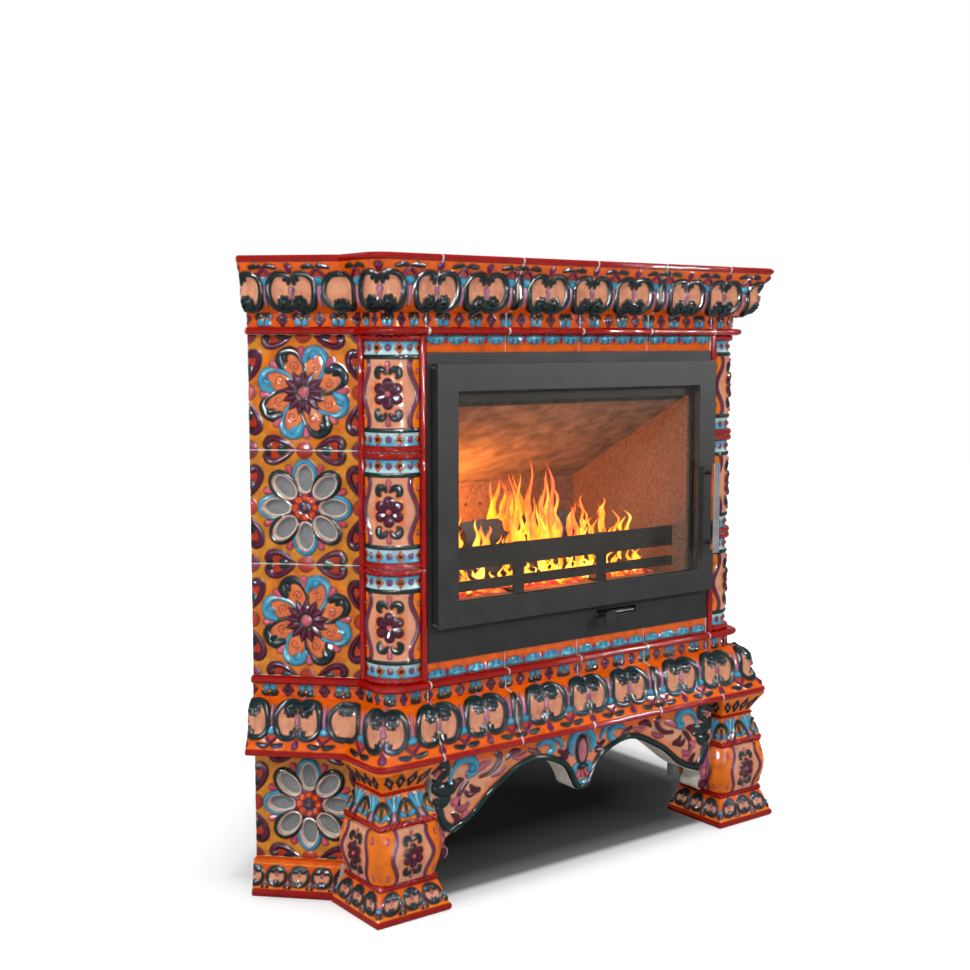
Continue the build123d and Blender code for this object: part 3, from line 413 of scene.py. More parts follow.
# ------------------------------------------------------------------ materials
class Tree:
    """The nodes of a material or the world, and short ways to add the usual ones."""

    def __init__(self, owner, output="OutputMaterial"):
        owner.use_nodes = True
        self.nodes, self.link = owner.node_tree.nodes, owner.node_tree.links.new
        self.nodes.clear()
        self.out = self.add(output)

    def add(self, kind, values=(), **settings):
        node = self.nodes.new("ShaderNode" + kind)
        for setting, value in settings.items():
            setattr(node, setting, value)
        return self.set(node, values)

    def set(self, node, values):
        """Give each socket, by name or number, its constant or its link."""
        for socket, value in dict(values).items():
            if isinstance(value, bpy.types.NodeSocket):
                self.link(value, node.inputs[socket])
            else:
                node.inputs[socket].default_value = value
        return node

    def math(self, kind, a, b):
        return self.add("Math", {0: a, 1: b}, operation=kind).outputs[0]

    def seen_directly(self):
        """1 for rays from the camera, off a mirror or through glass."""
        path = self.add("LightPath").outputs
        return self.math("ADD", path["Is Camera Ray"],
                         self.math("ADD", path["Is Glossy Ray"], path["Is Transmission Ray"]))

    def ramp(self, value, stops):
        node = self.add("ValToRGB", {0: value})
        band = node.color_ramp
        while len(band.elements) < len(stops):
            band.elements.new(0.5)
        for element, (position, colour) in zip(band.elements, stops):
            element.position = position
            element.color = (*lin(colour), 1)
        return node.outputs[0]

    def finish(self, *shaders, kind="MixShader", share=None):
        """Join two shaders and send them to the output."""
        values = dict(zip((0, 1) if share is None else (1, 2), (shader.outputs[0] for shader in shaders)))
        if share is not None:
            values[0] = share
        self.link(self.add(kind, values).outputs[0], self.out.inputs[0])


class Surface(Tree):
    """A material around a principled shader, textured in object coordinates."""

    def __init__(self, name):
        self.material = bpy.data.materials.new(name)
        super().__init__(self.material)
        self.bsdf = self.add("BsdfPrincipled")
        self.link(self.bsdf.outputs[0], self.out.inputs[0])
        self.where = self.add("TexCoord").outputs["Object"]

    def noise(self, scale, detail=4.0, rough=0.55, stretch=None):
        where = self.where
        if stretch:
            where = self.add("Mapping", {0: where, "Scale": stretch}).outputs[0]
        values = {"Scale": scale, "Detail": detail, "Roughness": rough, "Vector": where}
        return self.add("TexNoise", values).outputs["Fac"]

    def spread(self, value, low, high):
        """Stretch a noise's usual range over low to high."""
        values = {0: value, "From Min": 0.3, "From Max": 0.7, "To Min": low, "To Max": high}
        return self.add("MapRange", values).outputs[0]

    def bump(self, value, strength, distance, edge=None):
        node = self.add("Bump", {"Strength": strength, "Distance": distance, "Height": value})
        if edge is not None:
            self.link(edge, node.inputs["Normal"])
        self.link(node.outputs[0], self.bsdf.inputs["Normal"])
        return node.outputs[0]


def glaze_material():
    s = Surface("relief_glaze")
    paint = s.add("VertexColor", layer_name="glaze")
    tone = s.ramp(s.noise(38, 6, 0.6),
                  ((0.30, (0.84, 0.78, 0.76)), (0.52, (0.99, 0.98, 0.97)), (0.72, (1, 1, 1))))
    mix = s.add("Mix", {"Factor": 0.9, "A": paint.outputs[0], "B": tone}, data_type="RGBA",
                blend_type="MULTIPLY")
    s.set(s.bsdf, {"Base Color": mix.outputs["Result"],
                   "Roughness": s.spread(s.noise(150, 3, 0.5), 0.09, 0.20),
                   "Coat Weight": 0.30, "Coat Roughness": 0.04, "Coat IOR": 1.5, "IOR": 1.5,
                   "Specular IOR Level": 0.0, "Coat Normal": s.bump(s.noise(120, 3, 0.5), 0.42, 0.0009)})
    return s.material


def plain_material(name, dark, pale, rough=(0.5, 0.7), scale=60, bumpy=0.25, distance=0.001, metal=0.0,
                   stretch=None, bevel=0.0, shine=0.12, fine=400):
    """Colour between two tones, roughness over a range, and bumps as fine as asked, all from noise."""
    s = Surface(name)
    s.set(s.bsdf, {"Base Color": s.ramp(s.noise(scale, 6, 0.6, stretch), ((0.32, dark), (0.68, pale))),
                   "Roughness": s.spread(s.noise(scale * 2.3, 3), *rough), "Metallic": metal,
                   "Specular IOR Level": shine})
    edge = s.add("Bevel", {"Radius": bevel}, samples=4).outputs[0] if bevel else None
    s.bump(s.noise(fine, 3, 0.6, stretch), bumpy, distance, edge)
    return s.material


GLAZE = glaze_material()
CLAY = plain_material("bisque_clay", (0.80, 0.76, 0.71), (0.91, 0.88, 0.84), (0.75, 0.9), 90, 0.3)
GROUT = plain_material("grey_grout", (0.70, 0.68, 0.64), (0.80, 0.78, 0.74), (0.8, 0.95), 160, 0.4, 0.0006)
CONCRETE = plain_material("cast_concrete", (0.50, 0.49, 0.46), (0.64, 0.62, 0.58), (0.8, 0.95), 28, 0.5,
                          0.002, fine=160)
STEEL = plain_material("mill_steel", (0.30, 0.30, 0.31), (0.42, 0.42, 0.43), (0.35, 0.5), 30, 0.12, 0.0004,
                       metal=1.0, stretch=(1, 1, 0.15), bevel=0.0006)
PAINT = plain_material("charcoal_stove_paint", (0.115, 0.114, 0.113), (0.145, 0.144, 0.143), (0.42, 0.55), 14,
                       0.14, 0.0003, bevel=0.0012, shine=0.09, fine=900)
DARK_PAINT = plain_material("dark_plate_paint", (0.085, 0.085, 0.09), (0.11, 0.11, 0.115), (0.45, 0.6), 12,
                            0.14, 0.0003, bevel=0.0008, shine=0.08, fine=900)
CASING = plain_material("casing_paint", (0.10, 0.10, 0.105), (0.16, 0.16, 0.165), (0.55, 0.7), 10, 0.2,
                        0.0006, fine=500)
BRICK = plain_material("vermiculite_board", (0.42, 0.34, 0.28), (0.60, 0.50, 0.43), (0.85, 0.95), 150, 0.10,
                       0.0004, shine=0.1, fine=700)
SOOTY = plain_material("sooty_board", (0.36, 0.34, 0.32), (0.56, 0.52, 0.48), (0.85, 0.95), 24, 0.10, 0.0004,
                       shine=0.1, fine=700)
SCREEN = plain_material("grey_gauze", (0.42, 0.43, 0.44), (0.50, 0.51, 0.52), (0.6, 0.8), 200, 0.25, 0.0004,
                        fine=900)
IRON = plain_material("cast_iron", (0.10, 0.095, 0.09), (0.18, 0.17, 0.165), (0.6, 0.8), 80, 0.5, metal=0.6,
                      fine=300)
ROPE = plain_material("glass_fibre_rope", (0.16, 0.16, 0.155), (0.30, 0.30, 0.29), (0.8, 0.95), 300, 0.3,
                      0.0006, fine=900)


def chrome_material():
    s = Surface("polished_chrome")
    colour = s.ramp(s.noise(20), ((0.3, (0.42, 0.42, 0.43)), (0.7, (0.52, 0.52, 0.53))))
    s.set(s.bsdf, {"Base Color": colour, "Roughness": s.spread(s.noise(300), 0.07, 0.14), "Metallic": 1.0})
    s.bump(s.noise(60), 0.03, 0.0003)
    return s.material


def glass_material():
    """Clear from the front, a mirror at a glancing angle, with a faint smear all over."""
    s = Surface("clear_stove_glass")
    s.nodes.remove(s.bsdf)
    clear = s.add("BsdfTransparent", {0: (0.93, 0.91, 0.88, 1)})
    shine = s.add("BsdfGlossy", {"Roughness": 0.03})
    facing = s.add("LayerWeight", {"Blend": 0.5}).outputs["Facing"]
    smear = s.spread(s.noise(9, 5, 0.6), 0.006, 0.014)
    s.finish(clear, shine, share=s.math("ADD", s.math("POWER", facing, 5), smear))
    return s.material


def glow_material(name, stops, strength, scale, stretch=None, edge=0.0, height=None):
    """Self-lit, hotter where its noise is high; height=(low, high) fades it upwards, edge at its rim."""
    s = Surface(name)
    value = s.noise(scale, 6, 0.65, stretch)
    if height:
        up = s.add("SeparateXYZ", {0: s.where}).outputs["Z"]
        fade = s.add("MapRange",
                     {0: up, "From Min": height[0], "From Max": height[1], "To Min": 0.07, "To Max": -0.20})
        value = s.math("ADD", value, fade.outputs[0])
    colour = s.ramp(value, stops)
    s.set(s.bsdf,
          {"Base Color": colour, "Emission Color": colour, "Emission Strength": strength, "Roughness": 0.9})
    if edge:
        s.finish(s.bsdf, s.add("BsdfTransparent"),
                 share=s.add("LayerWeight", {"Blend": edge}).outputs["Facing"])
    return s.material


CHROME = chrome_material()
GLASS = glass_material()
FLAME = glow_material("flame", ((0.24, (0.85, 0.16, 0.0)), (0.40, (1, 0.42, 0.0)), (0.54, (1, 0.74, 0.06)),
                                (0.70, (1, 0.93, 0.50))), 1.45, 26, (1, 1, 0.3), 0.42, (0.60, 0.86))
EMBER = glow_material("embers",
                      ((0.36, (0.05, 0.02, 0.015)), (0.50, (0.75, 0.14, 0.01)), (0.64, (1, 0.62, 0.10))),
                      1.1, 55)
CHAR = glow_material("charred_wood", ((0.50, (0.055, 0.04, 0.03)), (0.66, (0.12, 0.07, 0.045)),
                                      (0.78, (0.9, 0.25, 0.03))), 0.5, 24, (0.35, 1, 1))

# the solids' own materials: clay where a glaze lies over them
GLAZED = ("shelf_", "cornice_", "side_tile", "side_vent", "base_vent", "pilaster", "wing_plinth", "frieze",
          "apron", "leg_")
BARE = (
    (CONCRETE, ("base_slab", "top_slab")),
    (STEEL, ("lower_frame", "upper_frame", "insert_feet", "air_box_floor", "hinge_brackets", "latch_stud",
             "door_latch", "glass_retainer", "ash_pan")),
    (DARK_PAINT, ("insert_plate", "log_guard", "air_slide")),
    (PAINT, ("door_frame",)),
    (CASING, ("insert_casing", "flue_collar")),
    (BRICK, ("back_lining", "side_lining_left", "side_lining_right", "hearth_floor")),
    (SOOTY, ("baffle",)),
    (IRON, ("fire_grate",)),
    (CHAR, ("firewood",)),
    (GLASS, ("door_glass",)),
    (ROPE, ("door_seal",)),
    (CHROME, ("door_handle",)),
)
BARE = {node_name: material for material, node_names in BARE for node_name in node_names}
for node_name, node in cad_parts.items():
    node.data.materials.clear()
    node.data.materials.append(CLAY if node_name.startswith(GLAZED) else BARE[node_name])


# ------------------------------------------------------------------ moulding tiles
# plan of the stove: half widths of the insert's opening and of the box, depth of its cut corner
FACE_HALF, BOX_HALF, CORNER = 384.5, 475.0, 90.5
TILE, TILE_HALF = 225.0, 112.5  # a square side tile
W = 192.25  # a front tile's width
GAP = 0.8  # from a tile's edge to the middle of its joint
CORNER_RUN = 229.0  # a corner tile's length around the corner


def roll(start, radius, reach, first, last, count):
    """(height, offset) points of a rounded edge between two angles in degrees."""
    angles = np.radians(np.linspace(first, last, count))
    return [(start + radius * (1 + sin(a)), reach - radius * (1 - cos(a))) for a in angles]


def cove_section():
    """(height from lip, offset) of the moulding, with a little of its flat flange first."""
    points = [(0.0, 44.0)] + roll(0, 6.5, 63, -90, 60, 15)
    end, out = points[-1]
    for share in np.arange(1, 9) / 8:
        points.append((end + (51 - end) * share, 40 + (out - 40) * (1 - share) ** 1.3))
    for a in np.radians(np.linspace(0, 90, 13)):
        points.append((68.5 + 37 * sin(a), 3 + 37 * cos(a)))
    return points + [(134.5, 3.0)]


class Section:
    def __init__(self, points):
        self.p = np.array(points, float)
        self.s = np.r_[0, np.cumsum(np.hypot(*np.diff(self.p, axis=0).T))]
        self.v = axis_range(0, self.s[-1])
        self.height = np.interp(self.v, self.s, self.p[:, 0])
        self.out = np.interp(self.v, self.s, self.p[:, 1])
        self.start = self.s[1]

    def level(self, h):
        """Arc length at a height from the lip."""
        return np.interp(h, self.p[1:, 0], self.s[1:])


NECK_ROLL = roll(134.5, 7, 17.5, -60, 90, 13)
COVE = Section(cove_section())
SHELF = Section(cove_section() + NECK_ROLL + [(148.52, 0.4)])
NECK = Section([(134.5, 3.0)] + NECK_ROLL + [(148.5, 3.0)])


def motif(canvas, section, u, halves=(-1, 1)):
    """Dark green oval tube with hooks at its open top and two leafy curls at its foot."""
    body = [(0, 50), (12, 45), (28, 44), (40, 52), (47, 68), (48, 84), (44, 100), (36, 112), (20, 118),
            (0, 114)]
    for side in halves:
        pen = Pen(canvas, u, section.start, side)
        pen.fill(body, PEACH, low=0.0)
        for fold in ([(17, 52), (21, 68), (18, 88)], [(33, 56), (37, 74), (33, 92)]):
            pen.groove(fold, 0.9, 0.0, FOLD, strength=0.55)
    for side in halves:
        pen = Pen(canvas, u, section.start, side)
        pen.stroke([(3, 112), (12, 117.5), (25, 117), (37, 110), (45, 98), (48.5, 82), (47.5, 66), (42, 52),
                    (33, 44.5), (23, 42.5), (13, 43.5), (6.8, 48), (5.4, 55), (6, 62)],
                   [5, 6, 6.6, 6.6, 6.2, 5.8, 5.6, 5.6, 5.4, 5.4, 5.4, 5.2, 4.8, 3.8], 7.5, GREEN)
        pen.fill([(1, 118), (1, 103), (4, 94), (11, 88), (19, 87), (26, 92), (30, 101), (31, 112), (26, 119),
                  (12, 120)], GREEN, low=4.5)
        pen.stroke([(5, 108), (9, 98), (18, 95), (25, 101), (26, 110)], [6, 7, 8, 7, 6], 7.8, GREEN,
                   halo=False)
        for x, v, r in ((4.6, 95, 4.2), (11, 89.5, 5.0), (19.5, 88.5, 5.0), (27, 94, 4.4)):
            pen.stroke([(x, v)], [r], 7.4, GREEN, halo=False)
        for way in ([(8, 89), (9, 97), (13, 105)], [(15.5, 87), (15.5, 96), (16, 104)],
                    [(23.5, 89), (21, 98), (19, 105)],
                    [(2, 105), (6, 112), (16, 113), (25, 110), (29, 101)]):
            pen.groove(way, 0.8, 1.5, (0.0, 0.035, 0.035), strength=0.8)
        pen.stroke([(12, 50), (14, 55)], [4.6, 3.2], 6.6, GREEN)
        pen.groove([(43, 100), (48, 84), (46, 66)], 0.8, 0.6, (0.0, 0.06, 0.06), strength=0.5)
    pen = Pen(canvas, u, section.start)
    pen.stroke([(0, 74), (0, 91)], [5.6, 1.8], 6.5, LILAC)
    pen.stroke([(0, 122), (0, 131)], [1.8, 4.0], 4.5, LILAC)
    pen.stroke([(0, 28), (0, 38)], [7.4, 3.6], 6.4, (0.45, 0.13, 0.31))


def divider(canvas, section, u):
    pen = Pen(canvas, u, 0, 1, level=section.level)
    pen.fill([(0, 21), (-19, 40), (-11, 52), (11, 52), (19, 40)], REDDISH)
    pen.stroke([(0, 56), (0, 72), (1, 94)], [5.0, 4.0, 2.8], 4.6, LILAC)
    for x in (-19, 19):
        pen.stroke([(x, 41), (0, 25)], [2.6, 2.6], 4.4, HEATHER)
    canvas.oval(pen.at([(0, 48)])[0], 11.5, 9.0, 7.0, CYAN)
    for side in (-1, 1):
        pen = Pen(canvas, u, 0, side, level=section.level)
        pen.stroke([(5, 21), (13, 20), (27, 22.5)], [2.6, 5.0, 3.6], 5.0, GREEN)


def sliver(canvas, section, u):
    """Narrow half field where two front tiles meet."""
    shape = [(0, 32), (6, 42), (8, 62), (6, 84), (0, 95), (-6, 84), (-8, 62), (-6, 42)]
    Pen(canvas, u, level=section.level).fill(shape, PEACH, low=0.0)
    for side in (-1, 1):
        pen = Pen(canvas, u, 0, side, level=section.level)
        pen.stroke([(0, 29), (5.5, 41), (8.2, 62), (6.5, 84), (1, 97)], [2.2, 3.6, 4.0, 4.6, 5.0], 6.0, GREEN)


def cut_oval(canvas, section, u):
    """Oval cut by the tile's edge at the inner corner."""
    Pen(canvas, u, section.start).fill(ellipse(0, 80, 35, -37, 25)[:-1], PEACH, low=0.0)
    for side in (-1, 1):
        pen = Pen(canvas, u, section.start, side)
        pen.stroke([(0, 43), (18, 47), (31, 61), (35, 80), (31, 98), (18, 112), (0, 115)],
                   [5, 5.2, 5.4, 5.6, 6, 7, 7], 7.0, GREEN)
        pen.fill([(0, 116), (0, 96), (8, 94), (15, 98), (20, 106), (16, 115)], GREEN, low=5.0)
        for x, v in ((4, 94), (11.5, 96.5)):
            pen.stroke([(x, v)], [4.4], 6.6, GREEN, halo=False)
    Pen(canvas, u, section.start).stroke([(-12, 108), (0, 104), (12, 108)], [7, 8, 7], 7.0, GREEN, halo=False)


BAND_HEIGHT = 120.0  # of the small ornaments under the coves


def floret(canvas, section, u):
    base = section.level(BAND_HEIGHT - 1)
    for side in (-1, 1):
        pen = Pen(canvas, u, base, side, rise=-1, grow=1.22)
        pen.stroke([(3, -2), (7, -6), (3, -9)], [3.5, 4.2, 2.5], 2.6, CYAN)
        pen.stroke([(2, 3), (7, 6), (12, 3.5)], [2.4, 3.4, 2.6], 2.8, GREEN)
        pen.stroke([(11.5, 0.5)], [2.3], 2.4, GREEN, halo=False)
    pen.stroke([(0, 1)], [3.4], 2.8, GREEN)
    pen.stroke([(0, 1)], [1.7], 3.2, (0.95, 0.6, 0.12), halo=False, dark=0.1)
    pen.stroke([(0, 9)], [2.0], 2.4, GREEN)


def diamond(canvas, section, u):
    base = section.level(BAND_HEIGHT)
    corners = [(u, base - 11), (u + 9, base), (u, base + 11), (u - 9, base)]
    canvas.fill(corners, (0.72, 0.28, 0.22))
    for a, b in zip(corners, corners[1:] + corners[:1]):
        canvas.stroke([a, b], [2.0, 2.0], 2.6, (0.42, 0.12, 0.30))
    canvas.stroke([(u, base)], [3.0], 2.2, (0.08, 0.02, 0.03))


def moulding_canvas(section, length, seed, row, rims=(True, True)):
    """One tile of a moulding; row lists its ornaments with their places along it."""
    canvas = Canvas(axis_range(0, length), section.v, ORANGE, seed)
    canvas.C *= (1 + 0.10 * np.sin((section.v - 20) / 9.0))[None, :, None]
    lip, join, top, neck = (section.level(height) for height in (12.5, 107.5, 134.4, 134.5))
    canvas.band(-5, lip, RED)
    canvas.line(lip, 0.8, 0.5, (0.35, 0.03, 0.01), 0.5)
    canvas.line(join, 1.2, 0.9, JOIN, 0.6)
    for ornament, *where in row:
        ornament(canvas, section, *where)
    if section is SHELF:
        canvas.band(neck, section.v[-1] + 5, RED, 0.0)
        canvas.line(neck - 0.5, 0.8, 0.8, (0.30, 0.03, 0.01), 0.6)
    else:
        canvas.line(top, 0.7, 0.3, JOIN, 0.5)
    canvas.mottle(0.12)
    canvas.rims(*rims, low=True, high=False)
    return canvas


def front_points(section, number, z_of, count):
    """Surface of one of the four front tiles, numbered from the left."""
    P = np.zeros((count, len(section.v), 3))
    P[..., 0] = ((number - 2) * W + np.linspace(GAP, W - GAP, count))[:, None]
    P[..., 1] = -section.out[None]
    P[..., 2] = z_of(section.height)[None]
    return P


def corner_path(out, count, inset=0.0):
    """Plan of the box corner at one offset, by equal shares of its length."""
    r = 46 + (30 - 46) * max(out, 0) / 63
    side = -(BOX_HALF + out)
    a0, a1 = np.array((-FACE_HALF, -out)), np.array((side + r, -out))
    b0, b1 = np.array((side, -out + r)), np.array((side, CORNER - out * (ROOT2 - 1)))
    arc = [(side + r - r * sin(t), -out + r - r * cos(t)) for t in np.linspace(0, pi / 2, 24)]
    path = np.vstack([a0, a1, arc, b0, b1])
    s = np.r_[0, np.cumsum(np.hypot(*np.diff(path, axis=0).T))]
    want = np.linspace(inset, s[-1] - inset, count)
    return np.c_[np.interp(want, s, path[:, 0]), np.interp(want, s, path[:, 1])]


def corner_points(section, count, z_of):
    P = np.zeros((count, len(section.v), 3))
    share = np.linspace(0, 1, count)[:, None]
    for j, (h, out) in enumerate(zip(section.height, section.out)):
        a, b = corner_path(out, count + 1, GAP)[:-1], corner_path(out, count + 1)[1:]
        P[:, j, :2] = a * (1 - share) + b * share
        P[:, j, 2] = z_of(h)
    return P


def wing_points(section, count, z_of):
    P = np.zeros((count, len(section.v), 3))
    for j, (h, out) in enumerate(zip(section.height, section.out)):
        u = np.linspace(out * (ROOT2 - 1), TILE - GAP, count)
        P[:, j, 0] = -BOX_HALF - (u + out) / ROOT2
        P[:, j, 1] = CORNER + (u - out) / ROOT2
        P[:, j, 2] = z_of(h)
    return P


def alternating(places):
    return [((diamond, floret)[k % 2], u) for k, u in enumerate(places)]


FRONT_ROW = [(divider, 0.3 * W - GAP), (divider, 0.905 * W - GAP), (sliver, W - GAP), (motif, -GAP, (1,)),
             (motif, 0.6 * W - GAP), *alternating((-GAP, 0.2 * W, 0.4 * W, 0.6 * W, 0.8 * W, W - GAP))]
CORNER_ROW = [(divider, 62), (divider, 184), (cut_oval, CORNER_RUN + 4), (motif, -GAP, (1,)), (motif, 123),
              *alternating((-GAP, 38, 76, 114, 152, 190, 226))]
WING_ROW = [(divider, 56.5), (divider, 171.5), (cut_oval, 12), (motif, 228, (-1,)), (motif, 115),
            *alternating(2 + 37.5 * np.arange(7))]


def build_moulding(name, section, z_of):
    """Four front tiles, every second one turned round, and a corner and a wing tile on each side."""
    tile = moulding_canvas(section, W - 2 * GAP, 3, FRONT_ROW)
    for number in range(4):
        P = front_points(section, number, z_of, len(tile.u))
        skin(f"{name}_front_glaze_{number + 1}", P[::-1].copy() if number % 2 else P, tile, "moulding_glaze")
    tile = moulding_canvas(section, CORNER_RUN, 5, CORNER_ROW, (True, False))
    both_sides(f"{name}_corner_glaze", corner_points(section, len(tile.u), z_of), tile, "moulding_glaze")
    tile = moulding_canvas(section, TILE, 7, WING_ROW, (False, True))
    both_sides(f"{name}_wing_glaze", wing_points(section, len(tile.u), z_of), tile, "moulding_glaze")


def cornice_z(h):
    return 1270.0 - h


def shelf_z(h):
    return 298.0 + h


build_moulding("cornice", COVE, cornice_z)
build_moulding("shelf", SHELF, shelf_z)


def plain_bead():
    """The thin dark red bead under the cornice, in its five pieces."""
    def paint(length, seed, ends=(True, True)):
        canvas = Canvas(axis_range(0, length, 3), NECK.v, RED, seed)
        canvas.H += 0.25 * np.sin(canvas.u / 9.0)[:, None]
        canvas.mottle(0.18, 30)
        canvas.rims(ends[0], ends[1], low=False, high=False)
        return canvas
    for number in range(4):
        tile = paint(W - 2 * GAP, 11 + number)
        P = front_points(NECK, number, cornice_z, len(tile.u))
        skin(f"cornice_bead_front_{number + 1}", P, tile, "moulding_glaze")
    tile = paint(205, 17, (True, False))
    both_sides("cornice_bead_corner", corner_points(NECK, len(tile.u), cornice_z), tile, "moulding_glaze")
    tile = paint(TILE, 18, (False, True))
    both_sides("cornice_bead_wing", wing_points(NECK, len(tile.u), cornice_z), tile, "moulding_glaze")


plain_bead()


# ------------------------------------------------------------------ square tiles
def border(canvas):
    """Mirrored crescents along the four edges, half rosettes at the middles, quarters at the corners."""
    half = TILE_HALF

    def e(x, y):
        return half - x, y - half
    for turn in (0, 90, 180, 270):
        for side in (-1, 1):
            pen = Pen(canvas, 0, 0, side, turn)
            pen.fill([e(44, 0), e(42, 14), e(50, 20), e(62, 18), e(76, 11), e(90, 0)], TERRA, low=0.3)
            pen.fill([e(46, 0), e(44, 10), e(40, 0)], TERRA, low=0.3)
            pen.stroke([e(68.5, 0)], [10.5], 3.5, GREEN, dark=0.7)
            pen.stroke([e(39, 3), e(36, 12), e(41, 21), e(52, 23.5), e(66, 19), e(80, 10), e(90, 2.5)],
                       [5.5, 7.2, 6.6, 5.6, 5.0, 3.8, 1.2], 6.2, PLUM, dark=0.62)
            pen.stroke([e(40, 7)], [6.0], 6.6, DARK_PLUM, halo=False)
        pen = Pen(canvas, 0, 0, 1, turn)
        pen.stroke([(0, -half)], [16], 4.5, TERRA, dark=0.4)
        pen.stroke([(half, -half)], [18], 4.0, (0.58, 0.20, 0.28), dark=0.5)
        for a in (100, 120, 135, 150, 170):
            x, y = cos(radians(a)), sin(radians(a))
            pen.groove([(half + 6 * x, -half + 6 * y), (half + 16 * x, -half + 16 * y)], 0.7, 0.8, DARK_PLUM,
                       strength=0.6)


def square_canvas(seed, wave, swirl, lean, ripple):
    """An ochre ground with marbled clouds round its middle, and each point's distance from there."""
    canvas = Canvas(axis_range(-111.6, 111.6), axis_range(-112.0, 112.0), OCHRE, seed)
    X, Y = canvas.u[:, None], canvas.v[None]
    r, a = np.hypot(X, Y), np.arctan2(Y, X)
    cloud = 0.5 * np.sin(r / wave + swirl * np.sin(3 * a + lean))
    cloud += 0.3 * np.sin(r / ripple + 4 * np.cos(2 * a))
    canvas.C *= (1 + 0.13 * cloud)[..., None] * np.array([0.9, 1, 1])
    return canvas, r


def flower_tile():
    canvas, r = square_canvas(21, 5.5, 2, 0, 2.6)
    hot = np.clip((100 - np.abs(r - 98) * 6) / 100, 0, 1)
    canvas.tint(..., lin(ORANGE), 0.45 * hot)
    border(canvas)
    canvas.oval((0, 0), 62, 62, 0.4, WARM_PEACH, halo=False, dark=0.0, flat=0.2)
    petals = [Pen(canvas, turn=-45 * k) for k in range(8)]
    for pen in petals:
        pen.stroke([(-8, 42), (-16, 54), (-24, 66)], [9, 15, 9], 1.2, WARM_PEACH, dark=0.12, halo=False)
    turns = [(2 + 0.625 * t, 0.62 * t + 2.0) for t in range(13)]
    for pen in petals:
        pen.groove([(-17 + s * cos(a), 50 + s * sin(a)) for s, a in turns], 0.75, 0.9, BROWN, strength=0.95)
    for k, pen in enumerate(petals):
        colour, deep = ((GREEN, (0.0, 0.07, 0.07)), (CYAN, (0.10, 0.40, 0.55)))[k % 2]
        pen.stroke([(3, 34), (1.5, 50), (-4, 64), (-13, 76), (-27, 82), (-41, 75), (-47.5, 61), (-43, 49)],
                   [1.8, 3.0, 4.2, 5.6, 7.4, 9.2, 9.6, 6.6], 7.5, colour, dark=0.55)
        pen.stroke([(-35, 62), (-38, 68)], [4.5, 6.0], 7.6, colour, halo=False, dark=0.3)
        pen.groove([(-33, 57), (-32, 68), (-38, 75), (-45, 70)], 0.8, 1.3, deep, strength=0.75)
        if k % 2:
            # painted highlight: a flat pale cyan line along the cyan curl, with no relief
            pen.groove([(-6, 71), (-18, 79), (-30, 81)], 1.4, 0.0, PAINTED_CYAN_HIGHLIGHT, strength=0.7)
    for k in range(8):
        Pen(canvas, turn=-45 * k + 3).stroke([(0, 83), (0, 69)], [6.6, 2.0], 5.5, ROSE, dark=0.4)
    canvas.oval((0, 0), 24, 24, 2.0, DARK_PLUM, dark=0.3)
    for k in range(13):
        pen = Pen(canvas, turn=-360 * k / 13)
        pen.stroke([(0, 12), (0, 27), (0, 43.5)], [4.4, 7.6, 0.8], 7.0, PLUM, dark=0.6)
        pen.groove([(0, 16), (0, 28), (0, 39)], 0.7, -0.9, (0.52, 0.24, 0.38), strength=0.6)
    canvas.oval((0, 0), 15, 15, 4.0, (0.12, 0.10, 0.10))
    canvas.oval((0, 0), 11.5, 11.5, 7.5, (0.74, 0.34, 0.42), dark=0.3)
    canvas.mottle(0.26, 18)
    canvas.rims()
    return canvas


def vent_tile():
    canvas = square_canvas(23, 5.0, 2.4, 1, 2.4)[0]
    border(canvas)
    canvas.oval((0, 0), 36, 36, 2.0, PLUM, dark=0.3)
    petals, gaps = ([Pen(canvas, turn=45 * k + lean) for k in range(8)] for lean in (0, 22.5))
    for pen in gaps:
        pen.stroke([(0, 84), (0, 73)], [6.4, 3.0], 5.0, (0.78, 0.30, 0.38), dark=0.4)
    widths = 4.8 + 1.8 * np.cos(np.linspace(0, TURN, 25))
    for pens, colour in ((petals[::2], CYAN), (petals[1::2], GREEN)):
        for pen in pens:
            pen.fill(ellipse(0, 59, 18, 27, 25)[:-1], (0.28, 0.06, 0.04), low=0.0)
            pen.stroke(ellipse(0, 59.5, 20.5, 29, 25), widths, 7.0, colour, dark=0.5)
            pen.stroke(ellipse(0, 57, 16.9, 27.4, 25), 2.3, 3.6, (0.84, 0.72, 0.66), dark=0.2)
    for pen in gaps:
        pen.stroke([(0, 26), (0, 34)], [5, 2], 4.0, PLUM, dark=0.5, halo=False)
    for pen in petals:
        pen.stroke([(0, 14), (0, 18.5)], [6.0, 8.0], 6.0, (0.84, 0.22, 0.02), dark=0.35)
    for pen in petals:
        pen.stroke([(0, 20)], [1.6], 6.6, (0.95, 0.60, 0.10), halo=False, dark=0.1)
    canvas.oval((0, 0), 12, 12, 5.5, (0.13, 0.02, 0.05))
    canvas.oval((0, 0), 3.2, 3.2, 6.5, (0.86, 0.24, 0.05), dark=0.2)
    canvas.mottle(0.26, 18)
    canvas.rims()
    return canvas


def vent_opening(U, V):
    """Below zero in the vent tile's clay, above zero in one of its eight openings."""
    worst = np.full(U.shape, -99.0)
    for angle in np.radians(np.arange(0, 360, 45)):
        x, y = U * cos(angle) + V * sin(angle), V * cos(angle) - U * sin(angle) - 57
        worst = np.maximum(worst, (1 - np.hypot(x / 15.8, y / 26.3)) * 16)
    return worst


